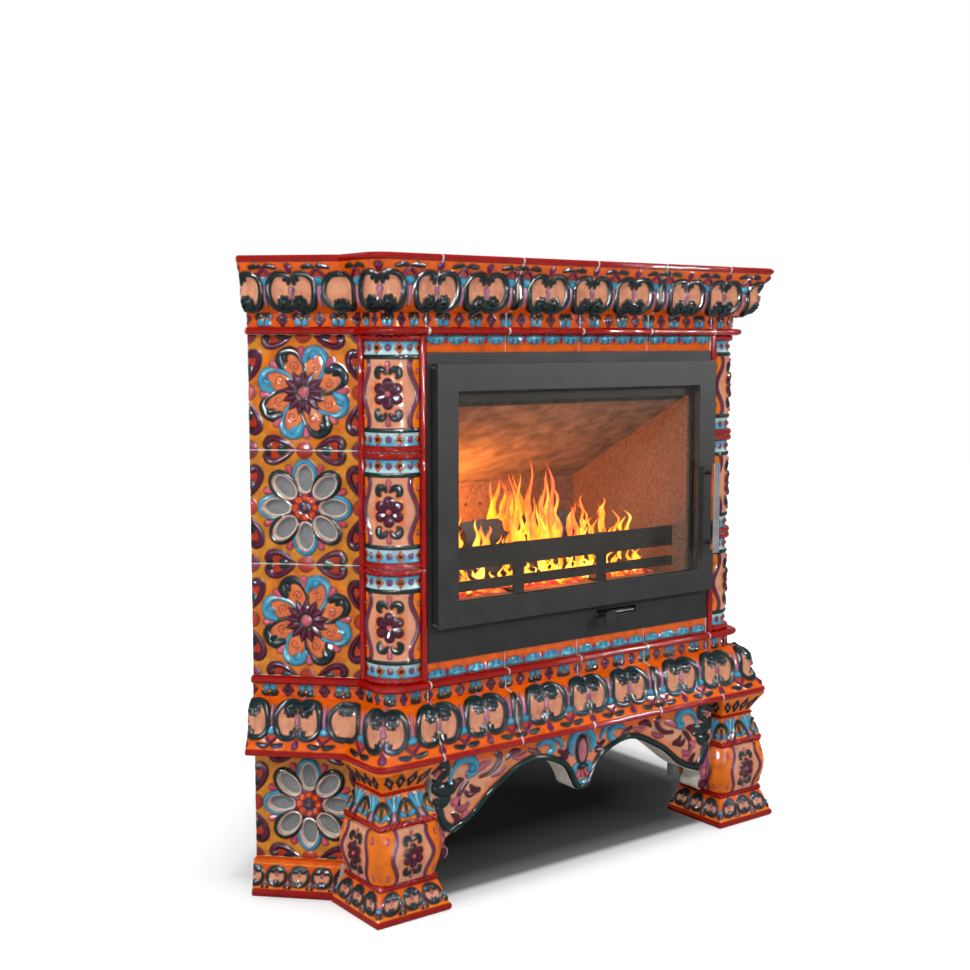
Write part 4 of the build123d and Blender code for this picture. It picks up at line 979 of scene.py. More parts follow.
def trimmed(canvas, beyond, deep):
    """Grid coordinates pulled onto the outline where beyond is zero, and which points to keep."""
    U, V = np.meshgrid(canvas.u, canvas.v, indexing="ij")
    solid = beyond(U, V) < 0
    near = np.zeros(solid.shape, bool)
    for di in (-1, 0, 1):
        for dj in (-1, 0, 1):
            near |= np.roll(np.roll(solid, di, 0), dj, 1)
    edge = near & ~solid
    for _ in range(4):
        slope_u = (beyond(U + 0.05, V) - beyond(U - 0.05, V)) / 0.1
        slope_v = (beyond(U, V + 0.05) - beyond(U, V - 0.05)) / 0.1
        step = beyond(U, V) / np.maximum(slope_u ** 2 + slope_v ** 2, 1e-6)
        U = np.where(edge, U - step * slope_u, U)
        V = np.where(edge, V - step * slope_v, V)
    canvas.H = np.where(edge, -deep, canvas.H)
    return U, V, solid | edge


def on_wing(U, V, low, flip=False):
    """Points of a square tile that stands at a height; V runs up from its middle.

    U runs to the viewer's right on either side of the stove.
    """
    start = (TILE_HALF + U if flip else TILE_HALF - U) / ROOT2
    return np.stack([-BOX_HALF - start, CORNER + start, low + TILE_HALF + V], -1)


SIDE_LOWS = (446.5, 671.5, 896.5)
BASE_LOW = 73.0
LEG_BACK = 101.2  # the base vent tile's glaze starts behind the leg
plain, vent = flower_tile(), vent_tile()
vent_U, vent_V, vent_keep = trimmed(vent, vent_opening, 1.6)
plain_U, plain_V = np.meshgrid(plain.u, plain.v, indexing="ij")
for side in SIDES:
    flip = side == "right"
    for number in (0, 2):
        P = on_wing(plain_U, plain_V, SIDE_LOWS[number], flip)
        skin(f"side_tile_{number + 1}_glaze_{side}", P, plain, "side_glaze", mirrored=flip)
    P = on_wing(vent_U, vent_V, SIDE_LOWS[1], flip)
    skin(f"side_vent_tile_glaze_{side}", P, vent, "side_glaze", mirrored=flip, keep=vent_keep)
    P = on_wing(vent_U, vent_V, BASE_LOW, flip)
    skin(f"base_vent_tile_glaze_{side}", P, vent, "side_glaze", mirrored=flip,
         keep=vent_keep & (P[..., 1] > LEG_BACK))


def vent_screen(name, low, side):
    """Grey gauze let into the back of a vent tile's openings."""
    U, V = np.meshgrid(np.linspace(-92, 92, 40), np.linspace(-92, 92, 40), indexing="ij")
    inward = 10 / ROOT2 + np.sin(U / 7.0) * np.cos(V / 8.0) * 0.4
    P = on_wing(U, V, low) + inward[..., None] * (1, 1, 0)
    place(plain_mesh(name, P, mirrored=side == "right", outward=FROM_STOVE), SCREEN)


for side in SIDES:
    vent_screen(f"side_vent_gauze_{side}", SIDE_LOWS[1], side)
    vent_screen(f"base_vent_gauze_{side}", BASE_LOW, side)


# ------------------------------------------------------------------ friezes
def frieze_canvas():
    """Cyan garland leaves with magenta buds; v grows away from the red bead."""
    canvas = Canvas(axis_range(0, W - 2 * GAP), axis_range(0, 34.6), ORANGE, 31)
    pitch = W / 4
    for k in range(5):
        u = k * pitch - GAP
        canvas.fill([(u - 9, 0), (u + 9, 0), (u, 16)], (0.95, 0.55, 0.10))
        canvas.stroke([(u, 3), (u, 16)], [5.5, 2.0], 3.6, MAGENTA)
    for k in range(4):
        u = (k + 0.5) * pitch - GAP
        for side in (-1, 1):
            Pen(canvas, u, 0, side).stroke([(2, 8), (11, 10), (19.5, 5)], [8.0, 7.0, 2.4], 4.0, CYAN,
                                           dark=0.45)
        canvas.stroke([(u, 6), (u, 14)], [8.5, 5.5], 4.6, CYAN, dark=0.4)
        for x in (-7, 7):
            canvas.groove([(u + x * 0.5, 4), (u + x, 11), (u + x * 1.3, 16)], 0.8, 1.1, (0.06, 0.30, 0.45),
                          strength=0.8)
        # painted highlight: a flat pale cyan arc across each leaf, with no relief
        canvas.groove([(u - 12, 5), (u, 8), (u + 12, 5)], 1.2, 0.0, PAINTED_CYAN_HIGHLIGHT, strength=0.6)
    canvas.line(21, 0.7, 0.4, (0.70, 0.25, 0.03), 0.6)
    canvas.mottle(0.14, 16)
    canvas.rims(deep=0.3)
    return canvas


garland = frieze_canvas()
for number in range(4):
    x = (number - 2) * W + np.linspace(GAP, W - GAP, len(garland.u))
    x = np.clip(x, -FACE_HALF + 1.5, FACE_HALF - 1.5)
    for name, edge, turn in (("upper", 1121.3, -1), ("lower", 446.9, 1)):
        P = np.stack(np.broadcast_arrays(x[:, None], 0.0, edge + turn * garland.v[None]), -1)
        skin(f"frieze_{name}_glaze_{number + 1}", P, garland, "moulding_glaze")


# ------------------------------------------------------------------ pilasters
def panel_flower(canvas, mid, wide, tall, grow=1.0):
    """Flower, leaf moustaches and drops of a peach panel; tall is the distance from flower to drop."""
    def pen_of(side=1, rise=1):
        return Pen(canvas, 0, mid, side, rise=rise, grow=grow)
    for rise in (1, -1):
        for side in (1, -1):
            leaf = [(4, 0.62 * tall), (10, 0.74 * tall), (19, 0.72 * tall), (21.5, 0.58 * tall),
                    (17.5, 0.50 * tall)]
            pen_of(side, rise).stroke(leaf, [2.4, 5.2, 7.0, 6.0, 3.0], 5.5, GREEN)
        pen_of(1, rise).stroke([(0, 0.92 * tall), (0, 0.70 * tall)], [4.6, 1.8], 4.2, PINK)
    pen = pen_of()
    for angle in np.radians(np.arange(0, 360, 60)):
        x, y = sin(angle), cos(angle)
        pen.stroke([(5 * x, 5 * y), (19.8 * x, 19.8 * y)], [3.4, wide], 6.5, PLUM, dark=0.6)
        pen.groove([(9 * x, 9 * y), (24 * x, 24 * y)], 0.6, 0.7, DARK_PLUM, strength=0.5)
    pen.stroke([(0, 0)], [5.0], 6.0, (0.85, 0.36, 0.38), dark=0.3)


def waved_panel(canvas, mid, edge, ground, halo, glow):
    """Orange ground outside two waved bars, and a scorched ring inside; edge(v) is a bar's distance."""
    U, V = canvas.u[:, None], canvas.v[None]
    outside = np.clip((np.abs(U) - edge(V)) / 1.5 + 0.5, 0, 1)
    canvas.tint(..., lin(ground), outside)
    ring = glow(np.hypot(U / halo[0], (V - mid) / halo[1]))
    canvas.tint(..., lin(SCORCH), ring * (1 - outside))


def bell(x, middle, wide):
    return np.exp(-((x - middle) / wide) ** 2)


PILASTER = 224.4  # a pilaster tile's height


def pilaster_canvas():
    canvas = Canvas(axis_range(-70, 70), axis_range(0, PILASTER), PEACH, 41)
    U, V = canvas.u[:, None], canvas.v[None]
    mid = PILASTER / 2

    def edge(v):
        return 51 + 9 * np.cos((v - mid) / 65.2 * pi * 1.25)
    waved_panel(canvas, mid, edge, (0.93, 0.50, 0.08), (34, 50),
                lambda q: 0.75 * bell(q, 0.86, 0.14) + 0.25 * bell(q, 0.3, 0.35))
    for side in (-1, 1):
        for v in (mid - 43, mid + 43):
            canvas.stroke([(side * 62, v)], [4.0], 3.0, PINK)
        canvas.stroke([(side * edge(v), v) for v in np.linspace(44, 180.4, 14)], 4.6, 5.0, WINE)
    panel_flower(canvas, mid, 10.0, 62)
    for turn, base in ((1, 0.0), (-1, PILASTER)):
        def between(a, b):
            return sorted((base + turn * a, base + turn * b))

        def at(h):
            return base + turn * h
        low, high = between(12, 38)
        canvas.band(low, high, CYAN, 0.0)
        fade = np.clip((canvas.v - at(12)) * turn / 26, 0, 1)[None]
        canvas.tint(..., lin((0.80, 0.92, 0.92)), 0.85 * fade ** 1.4 * ((V > low) & (V < high)))
        for k in range(-3, 4):
            u, s = 22.5 * k, at(25)
            if k % 2:
                canvas.fill([(u, s - 13), (u + 11, s), (u, s + 13), (u - 11, s)], (0.30, 0.05, 0.01), low=1.0)
                canvas.fill([(u, s - 10.5), (u + 8.8, s), (u, s + 10.5), (u - 8.8, s)], (0.93, 0.42, 0.04),
                            low=2.8)
                canvas.stroke([(u, s)], [4.4], 2.6, (0.02, 0.01, 0.01), low=0.6)
            else:
                canvas.stroke([(u, s)], [5.8], 4.4, (0.52, 0.26, 0.44))
        canvas.band(*between(38, 47), GREEN, 0.0)
        low, high = between(-3, 12)
        canvas.band(low, high, RED, 0.0)
        rope = ((V > low) & (V < high)).astype(float)
        twist = np.sin((U + turn * (V - base) * 1.1) / 2.1) * rope
        canvas.H += 0.8 * (rope + twist)
        canvas.C *= (1 + 0.16 * twist)[..., None]
        canvas.line(at(12.4), 0.8, 0.5, (0.25, 0.02, 0.01), 0.8)
    canvas.mottle(0.12, 16)
    canvas.rims(False, False)
    return canvas


COLUMN, COLUMN_RADIUS = (-419.5, 55.5), 58.5


def column_radius(v):
    """The drum's radius at a height in its tile."""
    h = np.minimum(v, PILASTER - v)
    drum = COLUMN_RADIUS
    ring = drum + np.sqrt(np.clip(1 - ((h - 6) / 6) ** 2, 0, 1)) * 6
    cuff = drum - 3 * np.sin(np.clip((h - 12) / 26, 0, 1) * pi)
    bead = drum + 3 * np.sqrt(np.clip(1 - ((h - 42.5) / 4.5) ** 2, 0, 1))
    return np.where(h < 12, ring, np.where(h < 38, cuff, np.where(h < 47, bead, drum)))


def pilasters():
    """Drums of three tiles each, with a bead along either edge."""
    drum = pilaster_canvas()
    paint = Canvas(np.linspace(0, 36, 13), axis_range(0, PILASTER, 3), RED, 43)
    paint.H += 0.3 * np.sin(paint.v / 7.0)[None]
    paint.mottle(0.2, 20)
    angle, radius = drum.u[:, None] / COLUMN_RADIUS, column_radius(drum.v)[None]
    across, ahead = radius * np.sin(angle) / ROOT2, radius * np.cos(angle) / ROOT2
    turn = np.linspace(0, TURN, 14)[:-1, None]
    for level in range(3):
        low = 446.8 + 225 * level
        P = np.stack(np.broadcast_arrays(COLUMN[0] - ahead + across, COLUMN[1] - ahead - across,
                                         low + drum.v[None]), -1)
        both_sides(f"pilaster_glaze_{level + 1}", P, drum, "pilaster_glaze", outward=away_from(*COLUMN))
        for end, aside in (("outer", -60.4), ("inner", 60.4)):
            x, y = -429.75 + (aside - 8) / ROOT2, 45.25 - (aside + 8) / ROOT2
            P = np.stack(np.broadcast_arrays(x + 6.6 * np.cos(turn), y + 6.6 * np.sin(turn),
                                             low + paint.v[None]), -1)
            both_sides(f"pilaster_bead_{end}_{level + 1}", P, paint, "pilaster_glaze", proud=0.6,
                       wrap=True, cap=True, outward=away_from(x, y))


pilasters()


# ------------------------------------------------------------------ legs
LEG = (-460, 18)  # the left leg's axis
PLINTH_TOP, BODY_TOP, LEG_TOP = 76, 181, 297.6


def leg_points(canvas, stations, share, bulge=0.0):
    """Four faces with cut corners round the leg's axis, from (height, half width, corner cut) stations.

    share is the flat face's part of a quarter, bulge how far the cut corners swell.
    """
    z = canvas.v
    heights, halves, cuts = zip(*stations)
    half, cut = np.interp(z, heights, halves), np.interp(z, heights, cuts)
    reach = canvas.u[-1]
    u = canvas.u[:-1, None]
    flat = np.abs(u) <= share * reach
    t = np.clip((np.abs(u) - share * reach) / (reach * (1 - share)), 0, 1) * 0.5
    push = 4 * t * (1 - t) * bulge * (cut / max(cut.max(), 1e-6)) * 0.7
    along = np.where(flat, u / (share * reach) * (half - cut), np.sign(u) * ((half - cut) + t * cut + push))
    across = np.where(flat, half, half - t * cut + push)
    rows = []
    for c, s in ((1, 0), (0, 1), (-1, 0), (0, -1)):
        x, y = along * c + across * s, along * s - across * c
        rows.append(np.stack(np.broadcast_arrays(LEG[0] + x, LEG[1] + y, z[None]), -1))
    return np.vstack(rows)


def four(canvas):
    """The same face four times round."""
    whole = Canvas(canvas.u, canvas.v, (0, 0, 0))
    whole.H = np.vstack([canvas.H[:-1]] * 4)
    whole.C = np.vstack([canvas.C[:-1]] * 4)
    return whole


def rope_band(canvas, low, high):
    """Dark red twisted rope over a height band."""
    canvas.band(low, high, RED, 0.0)
    twist = np.sin((np.abs(canvas.u[:, None]) + (canvas.v[None] - low) * 0.9) / 11.0 * TURN)
    twist = twist * ((canvas.v > low) & (canvas.v < high))
    canvas.H += 1.2 * twist
    canvas.C *= (1 + 0.18 * twist)[..., None]


def plinth_ovals(canvas, centres, low, high, wide):
    """Row of small dark green ovals with peach fields on a plinth's cove."""
    mid, tall = (low + high) / 2, (high - low) / 2
    for u in centres:
        ring = ellipse(u, mid, wide, tall, 21)
        canvas.fill(ring[:-1], PEACH, low=0.0)
        canvas.stroke(ring, 3.3, 4.4, GREEN)
        for side in (-1, 1):
            pen = Pen(canvas, u, mid, side)
            pen.stroke([(3, tall - 4), (8, tall - 7), (12, tall - 4)], [3.4, 5.0, 4.0], 4.4, GREEN)
            pen.stroke([(3.0, 2 - tall), (3.2, 7 - tall)], [3.2, 2.6], 4.0, GREEN)
        canvas.stroke([(u, mid + tall - 9), (u, mid + tall - 15)], [1.4, 2.4], 3.0, PINK)
    for a, b in zip(centres[:-1], centres[1:]):
        u = (a + b) / 2
        canvas.stroke([(u, mid - tall + 4)], [2.9], 3.2, CYAN)
        for side in (-1, 1):
            canvas.stroke([(u + side * 5, mid - tall - 3)], [3.2], 3.0, GREEN)
        canvas.stroke([(u, mid - tall - 2.5)], [2.4], 2.4, PEACH)


def leg_plinth():
    stations = roll(0, 9, 87.3, -90, 60, 13)
    low, wide = stations[-1]
    stations += [(low + (62 - low) * t, 66 + (wide - 66) * (1 - t) ** 0.8) for t in np.arange(1, 9) / 8]
    stations = [(*station, 2) for station in stations]
    stations += [(*station, 3) for station in roll(62, 7, 68, -75, 75, 9)]
    canvas = Canvas(axis_range(-78, 78), axis_range(0, PLINTH_TOP, 1.3), ORANGE, 51)
    canvas.band(-5, 16.2, RED)
    canvas.band(16.4, 20, AMBER, 0.4)
    plinth_ovals(canvas, (-49, 0, 49), 24, 57, 20)
    for side in (-1, 1):
        canvas.stroke([(side * 76, 34)], [3.6], 3.2, CYAN)
        canvas.stroke([(side * 74, 25)], [4.0], 3.0, GREEN)
    rope_band(canvas, 62, PLINTH_TOP)
    canvas.mottle(0.12, 14)
    whole = four(canvas)
    whole.H = np.where(canvas.v[None] < 18, np.minimum(whole.H, 0), whole.H)
    return leg_points(canvas, stations, 0.98), whole


def leg_body():
    stations = []
    for share in np.linspace(0, 1, 25):
        swell = sin(pi * share) ** 1.2 if 0 < share < 1 else 0.0
        height = PLINTH_TOP + (BODY_TOP - PLINTH_TOP) * share
        stations.append((height, 70 + 2 * share + 11 * swell, 27 * (0.8 + 0.2 * swell)))
    reach, mid = 74, 128.5
    canvas = Canvas(axis_range(-reach, reach), axis_range(PLINTH_TOP, BODY_TOP, 1.3), PEACH, 53)

    def edge(v):
        return 41 + 5.5 * np.cos((v - mid) / 52.5 * pi * 1.35)
    waved_panel(canvas, mid, edge, (0.93, 0.46, 0.05), (27, 40), lambda q: 0.6 * bell(q, 0.86, 0.16))
    canvas.C *= (1 - 0.14 * bell(np.abs(canvas.u), reach, 9))[:, None, None]
    for side in (-1, 1):
        for v in (mid - 37, mid + 37):
            canvas.stroke([(side * 57, v - 3), (side * 57, v + 3)], [3.0, 1.8], 2.6, PINK)
        canvas.stroke([(side * edge(v), v) for v in np.linspace(75, 182, 14)], 3.6, 4.2, WINE)
    panel_flower(canvas, mid, 9.8, 58, 0.80)
    canvas.mottle(0.12, 16)
    canvas.rims(False, False, deep=0.7)
    return leg_points(canvas, stations, 55 / reach, 4.0), four(canvas)


def leg_capital():
    stations = roll(BODY_TOP, 7, 68, -75, 75, 9)
    stations += [(195.2 + 49.6 * t, 50 + 16 * (1 - t) ** 1.6) for t in np.linspace(0, 1, 8)]
    stations += [(245 + 7 * t, 48 + 2 * (1 - t) + 3.6 * sin(pi * t)) for t in np.linspace(0, 1, 5)]
    stations += [(252 + 40 * t, 48 + 23 * t ** 1.2) for t in np.arange(1, 9) / 8] + [(LEG_TOP, 71)]
    stations = [(*station, 3) for station in stations]
    canvas = Canvas(axis_range(-60, 60, 1.2), axis_range(BODY_TOP, LEG_TOP, 1.3), (0.92, 0.46, 0.08), 55)
    rope_band(canvas, BODY_TOP, 195)
    canvas.band(245, 252, RED, 0.0)
    for k in range(4):
        u = -40.5 + 27 * k
        lean = u * 0.08
        rhomb = [(u - lean, 259), (u + 8, 272), (u + lean, 285), (u - 8, 272)]
        canvas.fill(rhomb, (0.82, 0.48, 0.36), low=0.6)
        for a, b in zip(rhomb, rhomb[1:] + rhomb[:1]):
            canvas.stroke([a, b], [2.5, 2.5], 3.2, GREEN)
    # palmettes: an arch in the middle and at each corner of a face, a fan between them
    for u in (-30, 30):
        for side in (-1, 1):
            Pen(canvas, u, 0, side).stroke([(3, 212), (8, 226), (16, 238)], [2.6, 5.2, 5.0], 4.4, CYAN,
                                           dark=0.5)
        canvas.stroke([(u, 212), (u, 238)], [2.6, 5.2], 5.0, (0.45, 0.74, 0.82), dark=0.5)
        canvas.stroke([(u, 200), (u, 210)], [4.4, 2.6], 3.6, LILAC)
    arch = [(-20, 197), (-18, 213), (-10, 225), (0, 230), (10, 225), (18, 213), (20, 197)]
    for u in (-60, 0, 60):
        Pen(canvas, u).fill(arch, (0.94, 0.52, 0.10), low=0.0)
        for side in (-1, 1):
            pen = Pen(canvas, u, 0, side)
            pen.stroke([(20.5, 198), (18.5, 213), (10.5, 226), (0, 231)], [3.4, 3.8, 4.0, 4.0], 5.0, GREEN)
            pen.stroke([(4, 202), (12, 207)], [2.6, 5.0], 3.8, CYAN, dark=0.5)
        canvas.stroke([(u, 204), (u, 219)], [2.4, 4.4], 4.2, GREEN)
    canvas.mottle(0.12, 14)
    whole = four(canvas)
    whole.H = np.where(canvas.v[None] > 292, np.minimum(whole.H, 0.0), whole.H)
    return leg_points(canvas, stations, 0.95), whole


for name, maker in (("leg_plinth", leg_plinth), ("leg_body", leg_body), ("leg_capital", leg_capital)):
    P, whole = maker()
    for side in SIDES:
        skin(f"{name}_glaze_{side}", P, whole, "leg_glaze", proud=-0.1, wrap=True, cap=True,
             mirrored=side == "right", outward=away_from(*LEG), replaces=(f"{name}_{side}",))


# ------------------------------------------------------------------ wing plinths
def wing_plinth():
    section = Section(roll(0, 9, 36, -90, 60, 13) + [(43.8, 24.8), (70, 20), (73, 17), (73.1, 0.6)])
    canvas = Canvas(axis_range(0, TILE), section.v, (0.90, 0.36, 0.06), 61)
    lip, rim, top, low, high, line = map(section.level, (17.6, 17.8, 21, 25, 60, 66))
    canvas.band(-5, lip, RED)
    canvas.band(rim, top, AMBER, 0.3)
    plinth_ovals(canvas, [222 - 49 * k for k in range(5)], low, high, 20)
    canvas.line(line, 0.8, 0.4, (0.98, 0.70, 0.25), 0.7)
    canvas.mottle(0.14, 16)
    canvas.rims(True, True, low=False, high=False)
    P = wing_points(section, len(canvas.u), lambda h: h)
    behind_leg = 106.5
    keep = P[..., 1] > behind_leg
    cut = np.vstack([keep[1:], keep[-1:]]) & ~keep
    P[..., 1] = np.where(cut, behind_leg, P[..., 1])
    both_sides("wing_plinth_glaze", P, canvas, "leg_glaze", keep=keep | cut)


wing_plinth()


# ------------------------------------------------------------------ apron
def arc_through(a, b, c, count=7):
    """Points of the circle arc from a through b to c."""
    (x1, y1), (x2, y2), (x3, y3) = a, b, c
    d = 2 * (x1 * (y2 - y3) + x2 * (y3 - y1) + x3 * (y1 - y2))
    s1, s2, s3 = x1 * x1 + y1 * y1, x2 * x2 + y2 * y2, x3 * x3 + y3 * y3
    ox = (s1 * (y2 - y3) + s2 * (y3 - y1) + s3 * (y1 - y2)) / d
    oy = (s1 * (x3 - x2) + s2 * (x1 - x3) + s3 * (x2 - x1)) / d
    r = np.hypot(x1 - ox, y1 - oy)
    ta, tb, tc = (np.arctan2(p[1] - oy, p[0] - ox) for p in (a, b, c))
    turn = (tc - ta) % (2 * pi)
    if (tb - ta) % (2 * pi) > turn:
        turn -= 2 * pi
    return [(ox + r * cos(ta + turn * t), oy + r * sin(ta + turn * t)) for t in np.linspace(0, 1, count)]


def apron_outline():
    half = [(388.0, 297.0), (388.0, 195.0), (377.2, 181.0), (377.2, 86.4), (356, 86.4)]
    half += arc_through((356, 86.4), (348.3, 98), (357.2, 111))[1:]
    half += arc_through((357.2, 111), (357.2, 123), (348.3, 131.2))[1:]
    spline = smooth_path([(348.3, 131.2), (290, 156), (226, 205.3), (138, 243.3), (58, 221), (27.2, 178)],
                         [1] * 6, 10)[0]
    half += [tuple(p) for p in spline[1:]]
    half += arc_through((27.2, 178), (19.6, 164.2), (0, 157.3))[1:]
    return half, half + [(-x, z) for x, z in reversed(half[:-1])]


def apron():
    half, outline = apron_outline()
    canvas = Canvas(axis_range(-388, 388), axis_range(86, 297), PEACH, 71)
    X, Z = canvas.u[:, None], canvas.v[None]
    canvas.tint(..., lin(ORANGE), np.clip((Z - 262) / 10, 0, 1))
    lower = half[3:] + [(-x, z) for x, z in reversed(half[3:-1])]
    to_edge = np.full(canvas.H.shape, FAR)
    for a, b in zip(lower[:-1], lower[1:]):
        to_edge = np.minimum(to_edge, segment_distance(X, Z, a, b)[0])
    canvas.tint(..., lin((0.90, 0.42, 0.10)), 0.55 * bell(to_edge, 17, 9))
    for side in (-1, 1):
        p = Pen(canvas, side=side, fat=1.25)
        # bracket beside the leg
        p.stroke([(368, 178), (369, 150), (366, 124), (364, 100)], [9, 8, 9, 10], 4.5, MAUVE, dark=0.5)
        p.stroke([(364, 97)], [9.5], 6.0, PLUM, dark=0.5)
        p.stroke([(367, 126)], [7.5], 5.0, PINK, dark=0.4)
        # acanthus by the leg
        p.stroke([(384, 270), (372, 282), (356, 278), (352, 262), (362, 252)], [6, 8, 8, 7, 5], 6.5, GREEN)
        p.stroke([(386, 246), (374, 240), (366, 252)], [6, 7, 5], 6.0, GREEN)
        p.stroke([(362, 268)], [5], 6.5, PLUM)
        p.stroke([(377, 262), (370, 266)], [4, 3], 6.0, PINK)
        p.stroke([(380, 232), (360, 226), (340, 228), (334, 236)], [7, 12, 11, 6], 8.5, GREEN)
        p.stroke([(378, 206), (362, 202), (350, 207)], [6, 10, 7], 8.0, GREEN)
        for x in (372, 362, 352, 343):
            p.groove([(x, 236), (x - 3, 226), (x - 2, 216)], 0.8, 1.3, (0.01, 0.07, 0.07), strength=0.7)
        p.stroke([(372, 190), (364, 168), (354, 152), (338, 146), (322, 152)], [6, 7, 7.5, 6, 4], 6.5, GREEN)
        # cyan scrolls
        p.stroke([(344, 238), (338, 258), (322, 275), (300, 279), (284, 268), (284, 252), (296, 246)],
                 [2.5, 4, 6, 7.5, 8, 8, 6.5], 7.0, CYAN, dark=0.45)
        p.stroke([(290, 258)], [7.0], 7.6, CYAN, halo=False, dark=0.3)
        p.groove([(300, 252), (288, 252), (285, 263), (295, 268)], 0.9, 1.4, DEEP_CYAN, strength=0.8)
        p.stroke([(120, 272), (100, 280), (82, 272), (80, 258), (90, 254)], [3, 5.5, 6.5, 6, 4.5], 6.5, CYAN,
                 dark=0.45)
        p.stroke([(76, 284), (62, 276), (54, 262)], [3, 4.5, 3], 5.5, CYAN, dark=0.45)
        # plum sprays
        p.stroke([(300, 232), (312, 222), (322, 206), (320, 188)], [2.4, 4.5, 4, 2], 4.5, PLUM)
        p.stroke([(312, 238), (324, 236), (330, 226)], [2.5, 6, 4], 5.0, PLUM)
        p.stroke([(292, 222), (284, 212), (272, 210)], [2.5, 5.5, 4.0], 5.0, PLUM)
        p.stroke([(306, 212), (296, 204), (282, 206)], [2.2, 4.5, 3.0], 4.6, PLUM)
        p.stroke([(322, 204), (332, 196)], [2.5, 7], 5.0, PINK)
        p.stroke([(300, 186), (312, 178), (326, 182)], [3, 6, 3], 4.6, MAUVE)
        p.stroke([(336, 172), (326, 162), (330, 150)], [3, 5.5, 3], 4.5, PLUM)
        p.stroke([(312, 160), (306, 168)], [3, 6], 4.5, PINK)
        p.stroke([(274, 250), (262, 258), (246, 262)], [3, 6, 3], 4.5, PINK)
        p.stroke([(268, 236), (244, 240), (226, 252), (218, 268), (226, 276)], [2.4, 3.6, 4.4, 5, 4.0], 5.2,
                 PLUM)
        p.stroke([(238, 232), (220, 236), (206, 244)], [2, 4.5, 2.5], 4.0, MAUVE)
        p.stroke([(200, 262), (186, 272), (168, 272)], [3, 5, 3], 4.2, PLUM)
        p.stroke([(182, 260), (166, 258), (152, 264)], [2.5, 4.5, 2.5], 4.2, PINK)
        p.stroke([(142, 268), (128, 262), (116, 258)], [3, 4.5, 2.5], 4.2, PLUM)
        # leaves beside the cartouche
        p.stroke([(62, 252), (48, 244), (36, 250), (34, 266)], [3, 5, 5.5, 4], 5.5, PLUM)
        p.stroke([(74, 236), (58, 232), (42, 236)], [2.5, 5.5, 4], 5.0, PLUM)
        # cartouche
        p.stroke([(2, 284), (14, 283), (26, 272), (31, 256), (27, 240)], [5, 6.5, 7.5, 7, 4], 7.0, CYAN,
                 dark=0.45)
        p.groove([(8, 280), (20, 274), (27, 260)], 0.9, 1.2, DEEP_CYAN, strength=0.7)
        p.stroke([(20, 184), (23, 198), (18, 210), (8, 214)], [4.5, 6, 5, 3], 6.0, CYAN, dark=0.45)
        p.stroke([(2, 170), (12, 175), (20, 184)], [5, 5.5, 4.5], 6.0, CYAN, dark=0.45)
        p.stroke([(6, 196), (13, 190)], [3, 5], 5.0, PINK)
    canvas.oval((0, 244), 18, 33, 7.0, GREEN, dark=0.5)
    canvas.oval((0, 243), 11.5, 25, 10.0, (0.78, 0.46, 0.52), dark=0.35)
    canvas.oval((0, 208), 14, 5.5, 6.5, GREEN)
    canvas.oval((0, 192), 4.5, 8, 5.0, PINK)
    # dark green roll along the arches
    dome = np.clip(1 - ((to_edge - 7) / 7) ** 2, 0, 1) ** 0.5
    arches = np.abs(X) < 348
    share = np.clip((14.2 - to_edge) / 1.4, 0, 1) * arches
    canvas.H += (8.0 * dome - canvas.H) * share
    # a darker band just inside the roll's edge: pooled glaze and painted contact shade
    canvas.C *= (1 - 0.4 * np.clip((16.5 - to_edge) / 2, 0, 1) * arches)[..., None]
    canvas.tint(..., lin(GREEN) * (0.6 + 0.4 * dome)[..., None], share)
    canvas.mottle(0.14, 18)
    U, V, keep = trimmed(canvas, lambda u, v: polygon_sd(u, v, outline), 0.8)
    skin("apron_glaze", np.stack([U, np.full(U.shape, -18.0), V], -1), canvas, "leg_glaze", keep=keep)


apron()


# ------------------------------------------------------------------ grout lines
def grout_strip(name, P):
    place(plain_mesh(name, P, outward=FROM_STOVE), GROUT)


def joint_across(name, section, x, z_of, wobble=0.0):
    """Pale joint down a moulding between two front tiles."""
    u = x + np.array([[-0.9], [0], [0.9]]) + wobble * np.sin(section.v / 11.0)
    grout_strip(name, np.stack(np.broadcast_arrays(u, -section.out - 0.2, z_of(section.height)), -1))


for number in range(5):
    x = (number - 2) * W
    joint_across(f"cornice_joint_{number + 1}", COVE, x, cornice_z, 0.5)
    joint_across(f"shelf_joint_{number + 1}", SHELF, x, shelf_z, 0.5)
    joint_across(f"bead_joint_{number + 1}", NECK, x, cornice_z)
for side, sign in zip(SIDES, (-1, 1)):
    for number, z in enumerate(SIDE_LOWS[1:]):
        start = np.linspace(1, 224, 12)[:, None]
        P = np.broadcast_arrays(sign * (BOX_HALF + (start + 0.3) / ROOT2), CORNER + (start - 0.3) / ROOT2,
                                z + np.array([-1.0, 0, 1.0]))
        grout_strip(f"tile_joint_{number + 1}_{side}", np.stack(P, -1))


